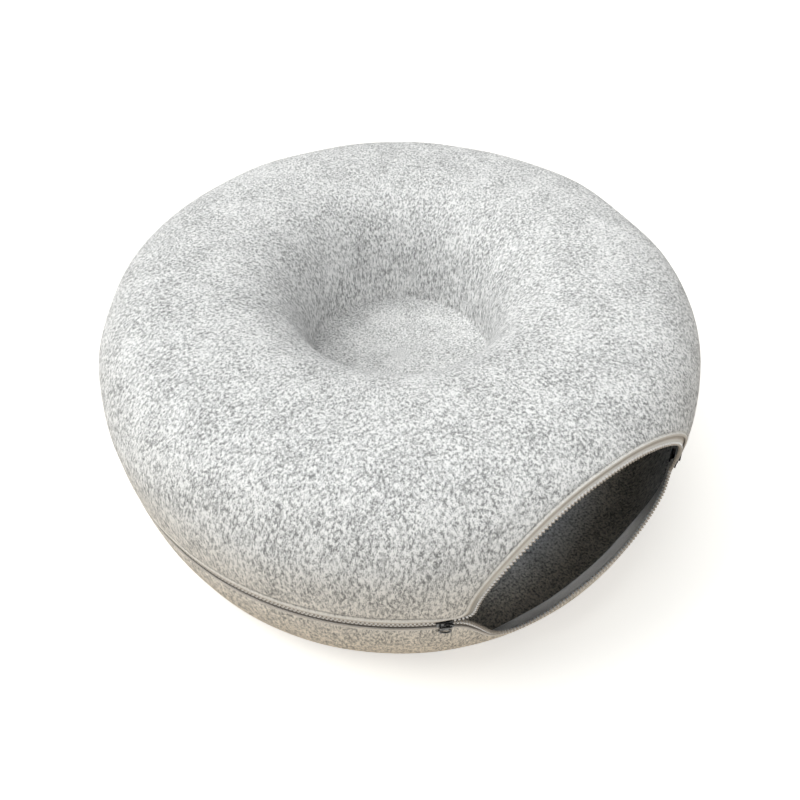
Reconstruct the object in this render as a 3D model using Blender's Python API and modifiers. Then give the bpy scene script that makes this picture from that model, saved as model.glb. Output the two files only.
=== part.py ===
"""Round felt tunnel for a cat: two moulded felt half shells, zipped together round the waist and,
inside the tunnel, round the hub.

Units are metres, +Z is up, and the origin is the middle of the footprint on the floor. An azimuth
is measured from -Y, where the mouth is, towards +X.
"""

import math

import bmesh
import bpy
import numpy as np

# Body
BODY_DIAMETER = 0.500
BODY_HEIGHT = 0.200
WIDEST_HEIGHT = 0.116
FELT_THICKNESS = 0.004
CROWN_RADIUS = 0.168
DISC_RADIUS = 0.080
DISC_HEIGHT = 0.100
HUB_WALL_HALF = 0.014
BASE_OUTER_RADIUS = 0.222
BASE_INNER_RADIUS = 0.150
SHOULDER_EXPONENT = 2.6
BELLY_EXPONENT = 2.1
FUNNEL_EXPONENT = 2.7
CLEARANCE = 0.0003

# How finely the round forms are drawn
ROUND_STEPS = 40
SHOULDER_STEPS = 6
BELLY_STEPS = 5
FUNNEL_STEPS = 5
HUB_COIL_STEPS = 24

# Waist zip: a height on the wall is counted along it, upwards from the zip's centre line
ZIP_HEIGHT = 0.088
SEAM_FELT_THICKNESS = 0.0014
SEAM_MARGIN = 0.0010
SEAM_ASIDE = math.radians(0.15)
TAPE_THICKNESS = 0.0008
TAPE_SEWN_WIDTH = 0.009
UPPER_TAPE_SHOWING = 0.0030
LOWER_TAPE_SHOWING = 0.0024
TOOTH_THICKNESS = 0.0024
TOOTH_PITCH = 0.0075
TOOTH_CREST_WIDTH = 0.0022
TOOTH_OVERLAP = 0.00035
TOOTH_ROOT_LINE = 0.0013
ROW_BACK_LINE = 0.0021

# Mouth: an arch cut in the upper shell over a scoop cut in the lower one
MOUTH_HALF_WIDTH = 0.104
MOUTH_BELOW_CROWN = 0.023
MOUTH_LOW_HEIGHT = 0.0355
MOUTH_EXPONENT = 2.15
MOUTH_FILLET_LENGTH = 0.020
EDGE_SAMPLE_LENGTH = 0.0015
EDGE_STEP_LENGTH = 0.0070
CUT_REACH = 0.030
CUT_OVERRUN = 0.001
SCOOP_SHARES = (
    (-1.12, 0.0), (-1.0, 0.12), (-0.9, 0.46), (-0.8, 0.80), (-0.68, 0.98), (-0.56, 1.0),
    (-0.42, 0.90), (-0.28, 0.70), (-0.1, 0.50), (0.1, 0.38), (0.35, 0.27), (0.6, 0.14),
    (0.85, 0.04), (1.05, 0.0),
)

# Along the mouth the lower tape leans into the tunnel by this angle, or out of it where negative
LIP_LEAN = math.radians(-25.0)
LIP_STRAIGHT_LENGTH = 0.010
LIP_FADE_LENGTH = 0.030

# Cast slider, in its own frame: X towards its wide end, Y across the chain, Z away from the felt
SLIDER_PAST_MOUTH = 0.0210
SLIDER_LENGTH = 0.011
SLIDER_NOSE_HALF_WIDTH = 0.0030
SLIDER_WIDE_HALF_WIDTH = 0.0042
SLIDER_CORNER = 0.0008
SLIDER_PLATE = 0.0012
SLIDER_CAVITY_HALF = 0.0016
SLIDER_NOSE_CAVITY_HALF_WIDTH = 0.0022
SLIDER_WIDE_CAVITY_HALF_WIDTH = 0.0035
SLIDER_SETBACK = 0.0001
SLIDER_POST_HALF_WIDTH = 0.0007
SLIDER_POST_LENGTH = 0.0048
SLIDER_END_GAP = 0.0004
BRIDGE_LEG_RADIUS = 0.00065
BRIDGE_LEG_PLACE = 0.0032
BRIDGE_LEG_SIDES = 10
BRIDGE_BAR_WIDTH = 0.0014
BRIDGE_BAR_THICKNESS = 0.0010

# Pull, a flat casting with an eye, a neck and an oval ring, in its own frame: X away from the eye
PULL_THICKNESS = 0.0010
PULL_STAND_OFF = 0.0009
PULL_EYE_HALF_WIDTH = 0.0020
PULL_EYE_DROP = 0.0015
PULL_EYE_MEMBER = 0.0011
PULL_NECK_HALF_WIDTH = 0.0014
PULL_NECK_LENGTH = 0.0024
PULL_RING_HALF_WIDTH = 0.0050
PULL_RING_HALF_LENGTH = 0.0029
PULL_RING_MEMBER = 0.0012
PULL_RING_POINTS = 20
PULL_LEAN = math.radians(20.0)

# Hub zip, inside the tunnel
HUB_SLIDER_AZIMUTH = math.radians(165.0)
HUB_STOP_AZIMUTH = math.radians(171.0)
HUB_BOX_AZIMUTH = math.radians(-171.0)
HUB_TAPE_END_AZIMUTH = math.radians(176.0)
HUB_TAPE_STAND_OFF = 0.0030
HUB_TAPE_UPRIGHT = 0.0030
HUB_TAPE_WIDTH = 0.0120
HUB_COIL_THICKNESS = 0.0020
HUB_BOX_LENGTH = 0.0060
HUB_PIN_LENGTH = 0.0050
HUB_STOP_LENGTH = 0.0020
HUB_BLOCK_THICKNESS = 0.0030

MERGE_DISTANCE = 0.00001

BODY_RADIUS = BODY_DIAMETER / 2
ROUND_STEP = math.tau / ROUND_STEPS
TAPE_DEPTH = SEAM_FELT_THICKNESS + CLEARANCE + TAPE_THICKNESS / 2
ROW_WIDTH = ROW_BACK_LINE + TOOTH_OVERLAP
TAPE_EDGE = ROW_WIDTH + CLEARANCE
UPPER_FELT_EDGE = TAPE_EDGE + UPPER_TAPE_SHOWING
LOWER_FELT_EDGE = TAPE_EDGE + LOWER_TAPE_SHOWING
PARTED_HALF = SLIDER_POST_HALF_WIDTH + CLEARANCE
SLIDER_HALF_HEIGHT = SLIDER_CAVITY_HALF + SLIDER_PLATE
HUB_HEIGHT = DISC_HEIGHT - FELT_THICKNESS - CLEARANCE / 2
HUB_WALL_RADIUS = DISC_RADIUS + FELT_THICKNESS
HUB_ZIP_RADIUS = HUB_WALL_RADIUS + HUB_TAPE_STAND_OFF + TAPE_THICKNESS / 2


def superellipse(centre, reach, exponent, steps):
    """Points of a quarter superellipse, from the end of its X half axis to the end of its Y one."""
    turn = np.linspace(0, math.pi / 2, steps + 1)
    share = np.stack([np.cos(turn), np.sin(turn)], axis=1).clip(0) ** (2 / exponent)
    return np.asarray(centre) + share * np.asarray(reach)


def offset_line(points, distance):
    """A profile moved to its right-hand side by a distance, with mitred corners."""
    along = np.diff(points, axis=0)
    along /= np.linalg.norm(along, axis=1)[:, None]
    right = np.stack([along[:, 1], -along[:, 0]], axis=1)
    before = np.vstack([right[:1], right])
    after = np.vstack([right, right[-1:]])
    mitre = (before + after) / (1 + (before * after).sum(axis=1))[:, None]
    return points + distance * mitre


def mirrored(half):
    """A closed outline: its half on one side of the X axis, then the mirror image."""
    half = np.asarray(half)
    return np.vstack([half, half[::-1] * (1, -1)])


class Wall:
    """The body's outer wall as a profile, from the crown down to the base."""

    def __init__(self):
        shoulder = superellipse(
            (CROWN_RADIUS, WIDEST_HEIGHT),
            (BODY_RADIUS - CROWN_RADIUS, BODY_HEIGHT - WIDEST_HEIGHT),
            SHOULDER_EXPONENT, SHOULDER_STEPS,
        )
        belly = superellipse(
            (BASE_OUTER_RADIUS, WIDEST_HEIGHT),
            (BODY_RADIUS - BASE_OUTER_RADIUS, -WIDEST_HEIGHT),
            BELLY_EXPONENT, BELLY_STEPS,
        )
        self.points = np.vstack([shoulder[::-1], belly[1:]])
        steps = np.linalg.norm(np.diff(self.points, axis=0), axis=1)
        self.lengths = np.concatenate([[0], np.cumsum(steps)])
        self.top = np.interp(-ZIP_HEIGHT, -self.points[:, 1], self.lengths)
        self.bottom = self.top - self.lengths[-1]

    def place(self, up, depth=0.0):
        """Radii and heights of points at heights on the wall, at depths under its face."""
        ways = offset_line(self.points, 1.0) - self.points
        length = self.top - np.asarray(up)
        radius, height = (
            np.interp(length, self.lengths, self.points[:, axis])
            + depth * np.interp(length, self.lengths, ways[:, axis])
            for axis in (0, 1)
        )
        return radius, height

    def height_on_wall(self, level):
        return self.top - np.interp(-level, -self.points[:, 1], self.lengths)

    def between(self, highest, lowest):
        """The profile's points between two heights on the wall, top to bottom, ends included."""
        corners = self.top - self.lengths
        inner = corners[(corners < highest) & (corners > lowest)]
        return np.stack(self.place(np.concatenate([[highest], inner, [lowest]])), axis=1)


WALL = Wall()
ZIP_RADIUS = float(WALL.place(0.0, TAPE_DEPTH)[0])
SLIDER_AZIMUTH = (MOUTH_HALF_WIDTH + SLIDER_PAST_MOUTH) / ZIP_RADIUS
FACET_DROP = ZIP_RADIUS * (1 - math.cos(ROUND_STEP / 2))
SLIDER_SLIT_FRONT = TAPE_THICKNESS / 2 + CLEARANCE + SLIDER_SETBACK
SLIDER_SLIT_BACK = TAPE_THICKNESS / 2 + CLEARANCE - SLIDER_SETBACK + FACET_DROP
PULL_LEVEL = float(WALL.place(0.0)[0]) - ZIP_RADIUS + SLIDER_SETBACK + PULL_STAND_OFF


def on_facets(azimuth, step):
    """How near the axis a flat facet lies at an azimuth, as a share of its corners' radius."""
    return math.cos(step / 2) / np.cos(np.mod(azimuth, step) - step / 2)


def around(azimuth, radius, height):
    """Points in space from azimuths, radii and heights."""
    return np.stack(np.broadcast_arrays(
        radius * np.sin(azimuth), -radius * np.cos(azimuth), height), axis=-1)


def on_wall(edge, depth):
    """Points in space from lengths round the wall and heights on it, at a depth under its face.

    An edge may have a third column, for how much deeper each of its points lies.
    """
    azimuth = edge[:, 0] / ZIP_RADIUS
    radius, height = WALL.place(edge[:, 1], depth + edge[:, 2:].sum(axis=1))
    return around(azimuth, radius * on_facets(azimuth, ROUND_STEP), height)


def make_collection(name):
    collection = bpy.data.collections.new(name)
    bpy.context.scene.collection.children.link(collection)
    return collection


def make_material(name, colour, roughness, metallic=0.0):
    material = bpy.data.materials.new(name)
    material.use_nodes = True
    shader = material.node_tree.nodes["Principled BSDF"]
    shader.inputs["Base Color"].default_value = (*colour, 1.0)
    shader.inputs["Roughness"].default_value = roughness
    shader.inputs["Metallic"].default_value = metallic
    material.diffuse_color = (*colour, 1.0)
    return material


def add_object(name, data, collection, material=None):
    made = bpy.data.objects.new(name, data)
    collection.objects.link(made)
    if material is not None and not data.materials:
        data.materials.append(material)
    return made


def evaluated_mesh(source):
    graph = bpy.context.evaluated_depsgraph_get()
    return bpy.data.meshes.new_from_object(source.evaluated_get(graph))


def turned(name, profile, collection, material):
    """A solid of revolution: a Screw on a profile that starts and ends on the axis."""
    mesh = bpy.data.meshes.new(name)
    points = [(radius, 0.0, height) for radius, height in profile]
    mesh.from_pydata(points, [(i, i + 1) for i in range(len(points) - 1)], [])
    made = add_object(name, mesh, collection, material)
    screw = made.modifiers.new("Turn", "SCREW")
    screw.axis = "Z"
    screw.angle = math.tau
    screw.steps = screw.render_steps = ROUND_STEPS
    screw.use_merge_vertices = True
    screw.merge_threshold = MERGE_DISTANCE
    screw.use_smooth_shade = True
    return made


def halved(faces):
    """Four-sided faces as pairs of triangles, all on the diagonal from the first corner."""
    pairs = [((a, b, c), (a, c, d)) for a, b, c, d in faces]
    return [triangle for pair in pairs for triangle in pair]


def band(name, lines, thickness, collection, material=None, closed=False):
    """An open surface over lines of equally many points, given its thickness by Solidify.

    A closed one, such as a tape, is drawn in triangles, to lie flat on what is cut along it.
    """
    grid = np.stack(lines, axis=1)
    count, width = grid.shape[:2]
    faces = []
    for row in range(count if closed else count - 1):
        following = (row + 1) % count
        for column in range(width - 1):
            corner, other = row * width + column, following * width + column
            faces.append((corner, other, other + 1, corner + 1))
    mesh = bpy.data.meshes.new(name)
    mesh.from_pydata(grid.reshape(-1, 3).tolist(), [], halved(faces) if closed else faces)
    made = add_object(name, mesh, collection, material)
    solidify = made.modifiers.new("Thickness", "SOLIDIFY")
    solidify.thickness = thickness
    solidify.offset = 0.0
    solidify.use_even_offset = True
    return made


def ring(name, lines, collection):
    """A closed ring whose cross-section has one corner on each of its closed lines."""
    grid = np.stack(lines, axis=1)
    count, width = grid.shape[:2]
    faces = []
    for row in range(count):
        following = (row + 1) % count
        for column in range(width):
            beside = (column + 1) % width
            faces.append((row * width + column, following * width + column,
                          following * width + beside, row * width + beside))
    mesh = bpy.data.meshes.new(name)
    mesh.from_pydata(grid.reshape(-1, 3).tolist(), [], halved(faces))
    shape = bmesh.new()
    shape.from_mesh(mesh)
    bmesh.ops.recalc_face_normals(shape, faces=shape.faces)
    shape.to_mesh(mesh)
    shape.free()
    return add_object(name, mesh, collection)


def extruded(name, outlines, low, high, collection):
    """A flat casting: outlines in X and Y, the later ones holes in the first, extruded along Z."""
    curve = bpy.data.curves.new(name, "CURVE")
    curve.dimensions = "2D"
    curve.fill_mode = "BOTH"
    curve.extrude = (high - low) / 2
    for outline in outlines:
        spline = curve.splines.new("POLY")
        spline.points.add(len(outline) - 1)
        for point, (x, y) in zip(spline.points, outline):
            point.co = (x, y, 0.0, 1.0)
        spline.use_cyclic_u = True
    drawn = add_object(name, curve, collection)
    mesh = evaluated_mesh(drawn)
    bpy.data.objects.remove(drawn)
    shape = bmesh.new()
    shape.from_mesh(mesh)
    bmesh.ops.translate(shape, verts=shape.verts, vec=(0.0, 0.0, (low + high) / 2))
    bmesh.ops.remove_doubles(shape, verts=shape.verts, dist=MERGE_DISTANCE)
    bmesh.ops.recalc_face_normals(shape, faces=shape.faces)
    shape.to_mesh(mesh)
    shape.free()
    mesh.name = name
    return add_object(name, mesh, collection)


def boolean(target, tool, operation):
    tool.hide_render = True
    tool.display_type = "WIRE"
    modifier = target.modifiers.new(operation.title(), "BOOLEAN")
    modifier.operation = operation
    modifier.object = tool


def smoothed(values, length):
    """A moving average of edge samples over a length, with the ends held."""
    half = max(1, round(length / EDGE_SAMPLE_LENGTH / 2))
    padded = np.concatenate([np.full(half, values[0]), values, np.full(half, values[-1])])
    return np.convolve(padded, np.full(2 * half + 1, 1 / (2 * half + 1)), mode="valid")


def parting(across):
    """Height of the row's crests on the wall: meshed past the sliders' noses, parted past the wedges."""
    place = SLIDER_AZIMUTH * ZIP_RADIUS
    share = ((place + SLIDER_LENGTH / 2 - np.abs(across)) / SLIDER_LENGTH).clip(0, 1)
    share = share * share * (3 - 2 * share)
    return (PARTED_HALF + TOOTH_OVERLAP) * share - TOOTH_OVERLAP


def arch_edge(reach, offset):
    """The upper shell's edge from -reach to +reach round the wall, moved into the felt by an offset."""
    rise = WALL.height_on_wall(BODY_HEIGHT - MOUTH_BELOW_CROWN) - PARTED_HALF
    arch_length = math.pi * (MOUTH_HALF_WIDTH + rise) / 2
    turn = np.linspace(math.pi, 0, round(arch_length / EDGE_SAMPLE_LENGTH))
    share = 2 / MOUTH_EXPONENT
    half_width = MOUTH_HALF_WIDTH + offset
    arch_across = half_width * np.sign(np.cos(turn)) * np.abs(np.cos(turn)) ** share
    arch_up = rise * np.sin(turn).clip(0) ** share
    flat_count = round((reach - MOUTH_HALF_WIDTH) / EDGE_SAMPLE_LENGTH)
    flat = np.linspace(reach, half_width, flat_count, endpoint=False)
    across = smoothed(np.concatenate([-flat, arch_across, flat[::-1]]), MOUTH_FILLET_LENGTH)
    up = smoothed(np.concatenate([0 * flat, arch_up, 0 * flat]), MOUTH_FILLET_LENGTH)
    across[0], across[-1] = -reach, reach
    return np.stack([across, up + parting(across) + offset], axis=1)


def scoop_edge(reach, offset):
    """The lower shell's edge from -reach to +reach round the wall, moved into the felt by an offset."""
    fall = -WALL.height_on_wall(MOUTH_LOW_HEIGHT) - PARTED_HALF
    across = np.linspace(-reach, reach, round(2 * reach / EDGE_SAMPLE_LENGTH))
    places, depths = np.array(SCOOP_SHARES).T
    down = smoothed(fall * np.interp(across, MOUTH_HALF_WIDTH * places, depths), MOUTH_FILLET_LENGTH)
    slope = smoothed(np.gradient(down, across), MOUTH_FILLET_LENGTH)
    down = down + parting(across) + offset * np.sqrt(1 + slope * slope)
    return np.stack([across, -down], axis=1)


def lip_edge(reach, offset):
    """The scoop's edge as the lower tape has it: past the felt's edge it leans in or out."""
    out = max(LOWER_FELT_EDGE - offset, 0.0)
    across = scoop_edge(reach, offset)[:, 0]
    straight = SLIDER_AZIMUTH * ZIP_RADIUS - LIP_STRAIGHT_LENGTH
    share = ((straight - np.abs(across)) / LIP_FADE_LENGTH).clip(0, 1)
    lean = LIP_LEAN * share * share * (3 - 2 * share)
    edge = scoop_edge(reach, offset + out * (1 - np.cos(lean)))
    return np.column_stack([edge, out * np.sin(lean)])


def spaced(edge, count):
    """Evenly chosen samples of an edge, which keep in step with those of its other offsets."""
    return edge[np.round(np.linspace(0, len(edge) - 1, count)).astype(int)]


def mouth_cutter(name, make_edge, side, felt_edge):
    """A cutter over the mouth that follows the felt's edge, led out past the shell's closed edge."""
    reach = 2 * SLIDER_AZIMUTH * ZIP_RADIUS
    edge = make_edge(reach, felt_edge)
    shell_edge = side * (felt_edge - TOOTH_OVERLAP)
    edge = edge[side * (edge[:, 1] - shell_edge) > CLEARANCE / 3]
    edge = spaced(edge, round(len(edge) * EDGE_SAMPLE_LENGTH / EDGE_STEP_LENGTH))
    way_out = shell_edge - side * CUT_OVERRUN
    edge = np.vstack([(edge[0, 0] - CUT_OVERRUN, way_out), edge, (edge[-1, 0] + CUT_OVERRUN, way_out)])
    far = np.stack([edge[:, 0], np.full(len(edge), -side * CUT_REACH)], axis=1)
    depth = FELT_THICKNESS / 2
    return band(name, [on_wall(edge, depth), on_wall(far, depth)], 2 * CUT_REACH, CUTTERS)


def waist_lines(make_edge, side, offsets, depth):
    """Lines all the way round the zip at offsets into the felt, along the mouth's free edge too.

    Behind the mouth their corners stand a little aside of the shell's meridians, so that a cut
    along them crosses the shell's edges cleanly.
    """
    corner = ROUND_STEP * math.ceil((SLIDER_AZIMUTH + ROUND_STEP / 2) / ROUND_STEP)
    reach = (corner + SEAM_ASIDE) * ZIP_RADIUS
    count = round(3 * reach / EDGE_STEP_LENGTH)
    back = np.arange(corner + ROUND_STEP, math.tau - corner - ROUND_STEP / 2, ROUND_STEP) + SEAM_ASIDE
    lines = []
    for offset in offsets:
        front = spaced(make_edge(reach, offset), count)
        closed = np.zeros((len(back), front.shape[1]))
        closed[:, 0] = back * ZIP_RADIUS
        closed[:, 1] = side * (offset - TOOTH_OVERLAP)
        lines.append(on_wall(np.vstack([front, closed]), depth))
    return lines


def seam_cutter(name, make_edge, side, felt_edge):
    """A cutter for the rebate behind the felt's edge, where the felt is pressed thin on the tape."""
    sewn = felt_edge + TAPE_SEWN_WIDTH
    offsets = (TAPE_EDGE, felt_edge, sewn, sewn + SEAM_MARGIN)
    face = waist_lines(make_edge, side, offsets, SEAM_FELT_THICKNESS)
    back = waist_lines(make_edge, side, offsets, FELT_THICKNESS + CUT_OVERRUN)
    return ring(name, face + back[::-1], CUTTERS)


def build_shells(felt):
    """The two moulded felt shells, each with its wall, its funnel or recess and its disc."""
    funnel = superellipse(
        (CROWN_RADIUS, HUB_HEIGHT + HUB_WALL_HALF),
        (DISC_RADIUS - CROWN_RADIUS, BODY_HEIGHT - HUB_HEIGHT - HUB_WALL_HALF),
        FUNNEL_EXPONENT, FUNNEL_STEPS,
    )
    wall = WALL.between(WALL.top, UPPER_FELT_EDGE - TOOTH_OVERLAP)
    skin = np.vstack([(0.0, DISC_HEIGHT), (DISC_RADIUS, DISC_HEIGHT), funnel[:-1], wall])
    upper = turned("upper_shell", np.vstack([skin, offset_line(skin, FELT_THICKNESS)[::-1]]),
                   PARTS, felt)
    boolean(upper, mouth_cutter("arch_cutter", arch_edge, 1, UPPER_FELT_EDGE), "DIFFERENCE")
    boolean(upper, seam_cutter("upper_rebate", arch_edge, 1, UPPER_FELT_EDGE), "DIFFERENCE")

    disc_under = HUB_HEIGHT - CLEARANCE / 2 - FELT_THICKNESS
    recess = superellipse(
        (BASE_INNER_RADIUS, HUB_HEIGHT - HUB_WALL_HALF),
        (DISC_RADIUS - BASE_INNER_RADIUS, HUB_WALL_HALF - HUB_HEIGHT),
        FUNNEL_EXPONENT, FUNNEL_STEPS,
    )
    wall = WALL.between(TOOTH_OVERLAP - LOWER_FELT_EDGE, WALL.bottom)
    skin = np.vstack([wall, recess[::-1], (DISC_RADIUS, disc_under), (0.0, disc_under)])
    lower = turned("lower_shell", np.vstack([offset_line(skin, FELT_THICKNESS)[::-1], skin]),
                   PARTS, felt)
    boolean(lower, mouth_cutter("scoop_cutter", scoop_edge, -1, LOWER_FELT_EDGE), "DIFFERENCE")
    boolean(lower, seam_cutter("lower_rebate", scoop_edge, -1, LOWER_FELT_EDGE), "DIFFERENCE")


def build_waist_tape(name, make_edge, side, felt_edge, material):
    """One tape of the waist zip, all the way round, sewn into the felt's rebate."""
    offsets = (TAPE_EDGE, felt_edge, felt_edge + TAPE_SEWN_WIDTH)
    lines = waist_lines(make_edge, side, offsets, TAPE_DEPTH)
    band(name, lines, TAPE_THICKNESS, PARTS, material, closed=True)


def build_row(name, lines, phase, corners, material):
    """Teeth fused on their cord, along lines for their crests, their roots and the cord's back."""
    steps = np.linalg.norm(np.diff(lines[0], axis=0), axis=1)
    lengths = np.concatenate([[0], np.cumsum(steps)])
    teeth = round(lengths[-1] / TOOTH_PITCH)
    pitch = lengths[-1] / teeth
    crest = pitch * TOOTH_CREST_WIDTH / TOOTH_PITCH
    middles = (np.arange(-1, teeth + 1) + phase) * pitch
    stations = (middles[:, None] + np.array([-pitch, -crest, crest]) / 2).ravel()
    places = np.union1d(stations, corners)
    places = places[(places >= 0) & (places <= lengths[-1])]
    head = np.interp(places, stations, np.tile([0, 1, 1], len(middles)))[:, None]
    crests, roots, backs = (
        np.stack([np.interp(places, lengths, column) for column in line.T], axis=1)
        for line in lines
    )
    fronts = crests * head + roots * (1 - head)
    band(name, [on_wall(fronts, TAPE_DEPTH), on_wall(backs, TAPE_DEPTH)], TOOTH_THICKNESS,
         PARTS, material)


def build_closed_rows(teeth):
    """The meshed rows round the back, from slider to slider."""
    past_slider = SLIDER_LENGTH / 2 + SLIDER_END_GAP
    start = SLIDER_AZIMUTH * ZIP_RADIUS + past_slider
    end = (math.tau - SLIDER_AZIMUTH) * ZIP_RADIUS - past_slider
    corners = np.arange(ROUND_STEPS) * ROUND_STEP * ZIP_RADIUS
    corners = np.concatenate([[start], corners[(corners > start) & (corners < end)], [end]]) - start
    for word, side, phase in (("upper", 1, 0.25), ("lower", -1, 0.75)):
        lines = [
            np.array([(start, side * up), (end, side * up)])
            for up in (-TOOTH_OVERLAP, TOOTH_ROOT_LINE, ROW_BACK_LINE)
        ]
        build_row(f"waist_{word}_teeth", lines, phase, corners, teeth)


def build_mouth_rows(teeth):
    """The parted rows along the mouth's two edges."""
    reach = SLIDER_AZIMUTH * ZIP_RADIUS - SLIDER_LENGTH / 2 - SLIDER_END_GAP
    for word, make_edge in (("upper", arch_edge), ("lower", lip_edge)):
        lines = [
            make_edge(reach, offset) for offset in (0.0, TOOTH_OVERLAP + TOOTH_ROOT_LINE, ROW_WIDTH)
        ]
        build_row(f"mouth_{word}_teeth", lines, 0.5, [], teeth)


def slider_mesh():
    """A cast slider: two plates with inturned edges, joined by a wedge, and a bridge for the pull."""
    half, corner = SLIDER_LENGTH / 2, SLIDER_CORNER
    nose, wide = SLIDER_NOSE_HALF_WIDTH, SLIDER_WIDE_HALF_WIDTH
    body = extruded("slider_body", [mirrored([
        (-half, nose - corner), (corner - half, nose), (-corner, nose), (half - corner, wide),
        (half, wide - corner),
    ])], -SLIDER_HALF_HEIGHT, SLIDER_HALF_HEIGHT, CUTTERS)
    past = half + CUT_OVERRUN
    channel = extruded("slider_channel", [mirrored([
        (-past, SLIDER_NOSE_CAVITY_HALF_WIDTH), (-corner, SLIDER_NOSE_CAVITY_HALF_WIDTH),
        (past, SLIDER_WIDE_CAVITY_HALF_WIDTH),
    ])], -SLIDER_CAVITY_HALF, SLIDER_CAVITY_HALF, CUTTERS)
    beside = wide + CUT_OVERRUN
    slit = extruded("slider_slit", [mirrored([(-past, beside), (past, beside)])],
                    -SLIDER_SLIT_BACK, SLIDER_SLIT_FRONT, CUTTERS)
    in_plate = SLIDER_CAVITY_HALF + SLIDER_PLATE / 2
    post, post_end = SLIDER_POST_HALF_WIDTH, half - corner
    wedge = extruded("slider_wedge", [mirrored([
        (post_end - SLIDER_POST_LENGTH, post / 4), (post_end - corner, post), (post_end, post / 2),
    ])], -in_plate, in_plate, CUTTERS)
    bar_under = PULL_LEVEL + PULL_THICKNESS + CLEARANCE
    bar_end, bar_half = BRIDGE_LEG_PLACE + BRIDGE_LEG_RADIUS, BRIDGE_BAR_WIDTH / 2
    bar = extruded("slider_bar", [mirrored([
        (-bar_end, bar_half / 2), (BRIDGE_LEG_RADIUS - bar_end, bar_half),
        (bar_end - BRIDGE_LEG_RADIUS, bar_half), (bar_end, bar_half / 2),
    ])], bar_under, bar_under + BRIDGE_BAR_THICKNESS, CUTTERS)
    turns = np.arange(BRIDGE_LEG_SIDES) * math.tau / BRIDGE_LEG_SIDES
    circle = np.stack([np.cos(turns), np.sin(turns)], axis=1) * BRIDGE_LEG_RADIUS
    legs = [
        extruded("slider_leg", [circle + (place, 0.0)], in_plate,
                 bar_under + BRIDGE_BAR_THICKNESS / 2, CUTTERS)
        for place in (-BRIDGE_LEG_PLACE, BRIDGE_LEG_PLACE)
    ]
    for tool in (channel, slit):
        boolean(body, tool, "DIFFERENCE")
    for tool in (wedge, bar, *legs):
        boolean(body, tool, "UNION")
    mesh = evaluated_mesh(body)
    for drawn in (body, channel, slit, wedge, bar, *legs):
        bpy.data.objects.remove(drawn)
    mesh.name = "zip_slider"
    return mesh


def pull_mesh():
    """The pull: its eye holds the bridge's leg at the origin, and its ring lies along +X."""
    eye_back = -(BRIDGE_LEG_RADIUS + CLEARANCE)
    frame_half = PULL_EYE_HALF_WIDTH + PULL_EYE_MEMBER
    frame_back, frame_front = eye_back - PULL_EYE_MEMBER, PULL_EYE_DROP + PULL_EYE_MEMBER
    ring_middle = frame_front + PULL_NECK_LENGTH + PULL_RING_HALF_LENGTH
    neck_turn = math.asin(PULL_NECK_HALF_WIDTH / PULL_RING_HALF_WIDTH)

    def oval(turns, inset=0.0):
        along = ring_middle - (PULL_RING_HALF_LENGTH - inset) * np.cos(turns)
        return np.stack([along, (PULL_RING_HALF_WIDTH - inset) * np.sin(turns)], axis=1)

    corner = PULL_EYE_MEMBER / 2
    outside = np.vstack([
        (frame_back, frame_half - corner), (frame_back + corner, frame_half),
        (frame_front - corner, frame_half), (frame_front, frame_half - corner),
        (frame_front, PULL_NECK_HALF_WIDTH),
        oval(np.linspace(neck_turn, math.pi, PULL_RING_POINTS // 2, endpoint=False)),
    ])
    eye = [(eye_back, PULL_EYE_HALF_WIDTH), (PULL_EYE_DROP, PULL_EYE_HALF_WIDTH)]
    hole = oval(np.arange(PULL_RING_POINTS) * math.tau / PULL_RING_POINTS, PULL_RING_MEMBER)
    drawn = extruded("zip_pull", [mirrored(outside), mirrored(eye), hole],
                     0.0, PULL_THICKNESS, CUTTERS)
    mesh = drawn.data
    bpy.data.objects.remove(drawn)
    return mesh


def place_slider(name, azimuth, radius, height, wide_end, slider, pull, metal):
    """A slider on an empty that turns about the body's axis, and its pull on the wide end's leg."""
    pivot = add_object(f"{name}_slider_pivot", None, PARTS)
    pivot.location = (0.0, 0.0, height)
    pivot.rotation_euler = (0.0, 0.0, azimuth)
    body = add_object(f"{name}_slider", slider, PARTS, metal)
    body.parent = pivot
    body.location = (0.0, SLIDER_SETBACK - radius, 0.0)
    body.rotation_euler = (math.pi / 2, 0.0 if wide_end > 0 else math.pi, 0.0)
    tab = add_object(f"{name}_pull", pull, PARTS, metal)
    tab.parent = body
    tab.location = (BRIDGE_LEG_PLACE, 0.0, PULL_LEVEL)
    tab.rotation_euler = (0.0, 0.0, -wide_end * (math.pi / 2 + PULL_LEAN))


def build_hub_tape(name, side, material):
    """A tape that stands off the hub beside its coil and is sewn to the hub's felt along its far edge."""
    grid = np.arange(1 - ROUND_STEPS // 2, ROUND_STEPS // 2) * ROUND_STEP
    turns = np.concatenate([[-HUB_TAPE_END_AZIMUTH], grid, [HUB_TAPE_END_AZIMUTH]])
    near = ROW_BACK_LINE + CLEARANCE
    sewn_radius = HUB_WALL_RADIUS + CLEARANCE + TAPE_THICKNESS / 2
    profile = ((HUB_ZIP_RADIUS, near), (HUB_ZIP_RADIUS, near + HUB_TAPE_UPRIGHT),
               (sewn_radius, HUB_TAPE_WIDTH))
    lines = [
        around(turns, radius * on_facets(turns, ROUND_STEP), HUB_HEIGHT + side * up)
        for radius, up in profile
    ]
    band(name, lines, TAPE_THICKNESS, PARTS, material)


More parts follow.
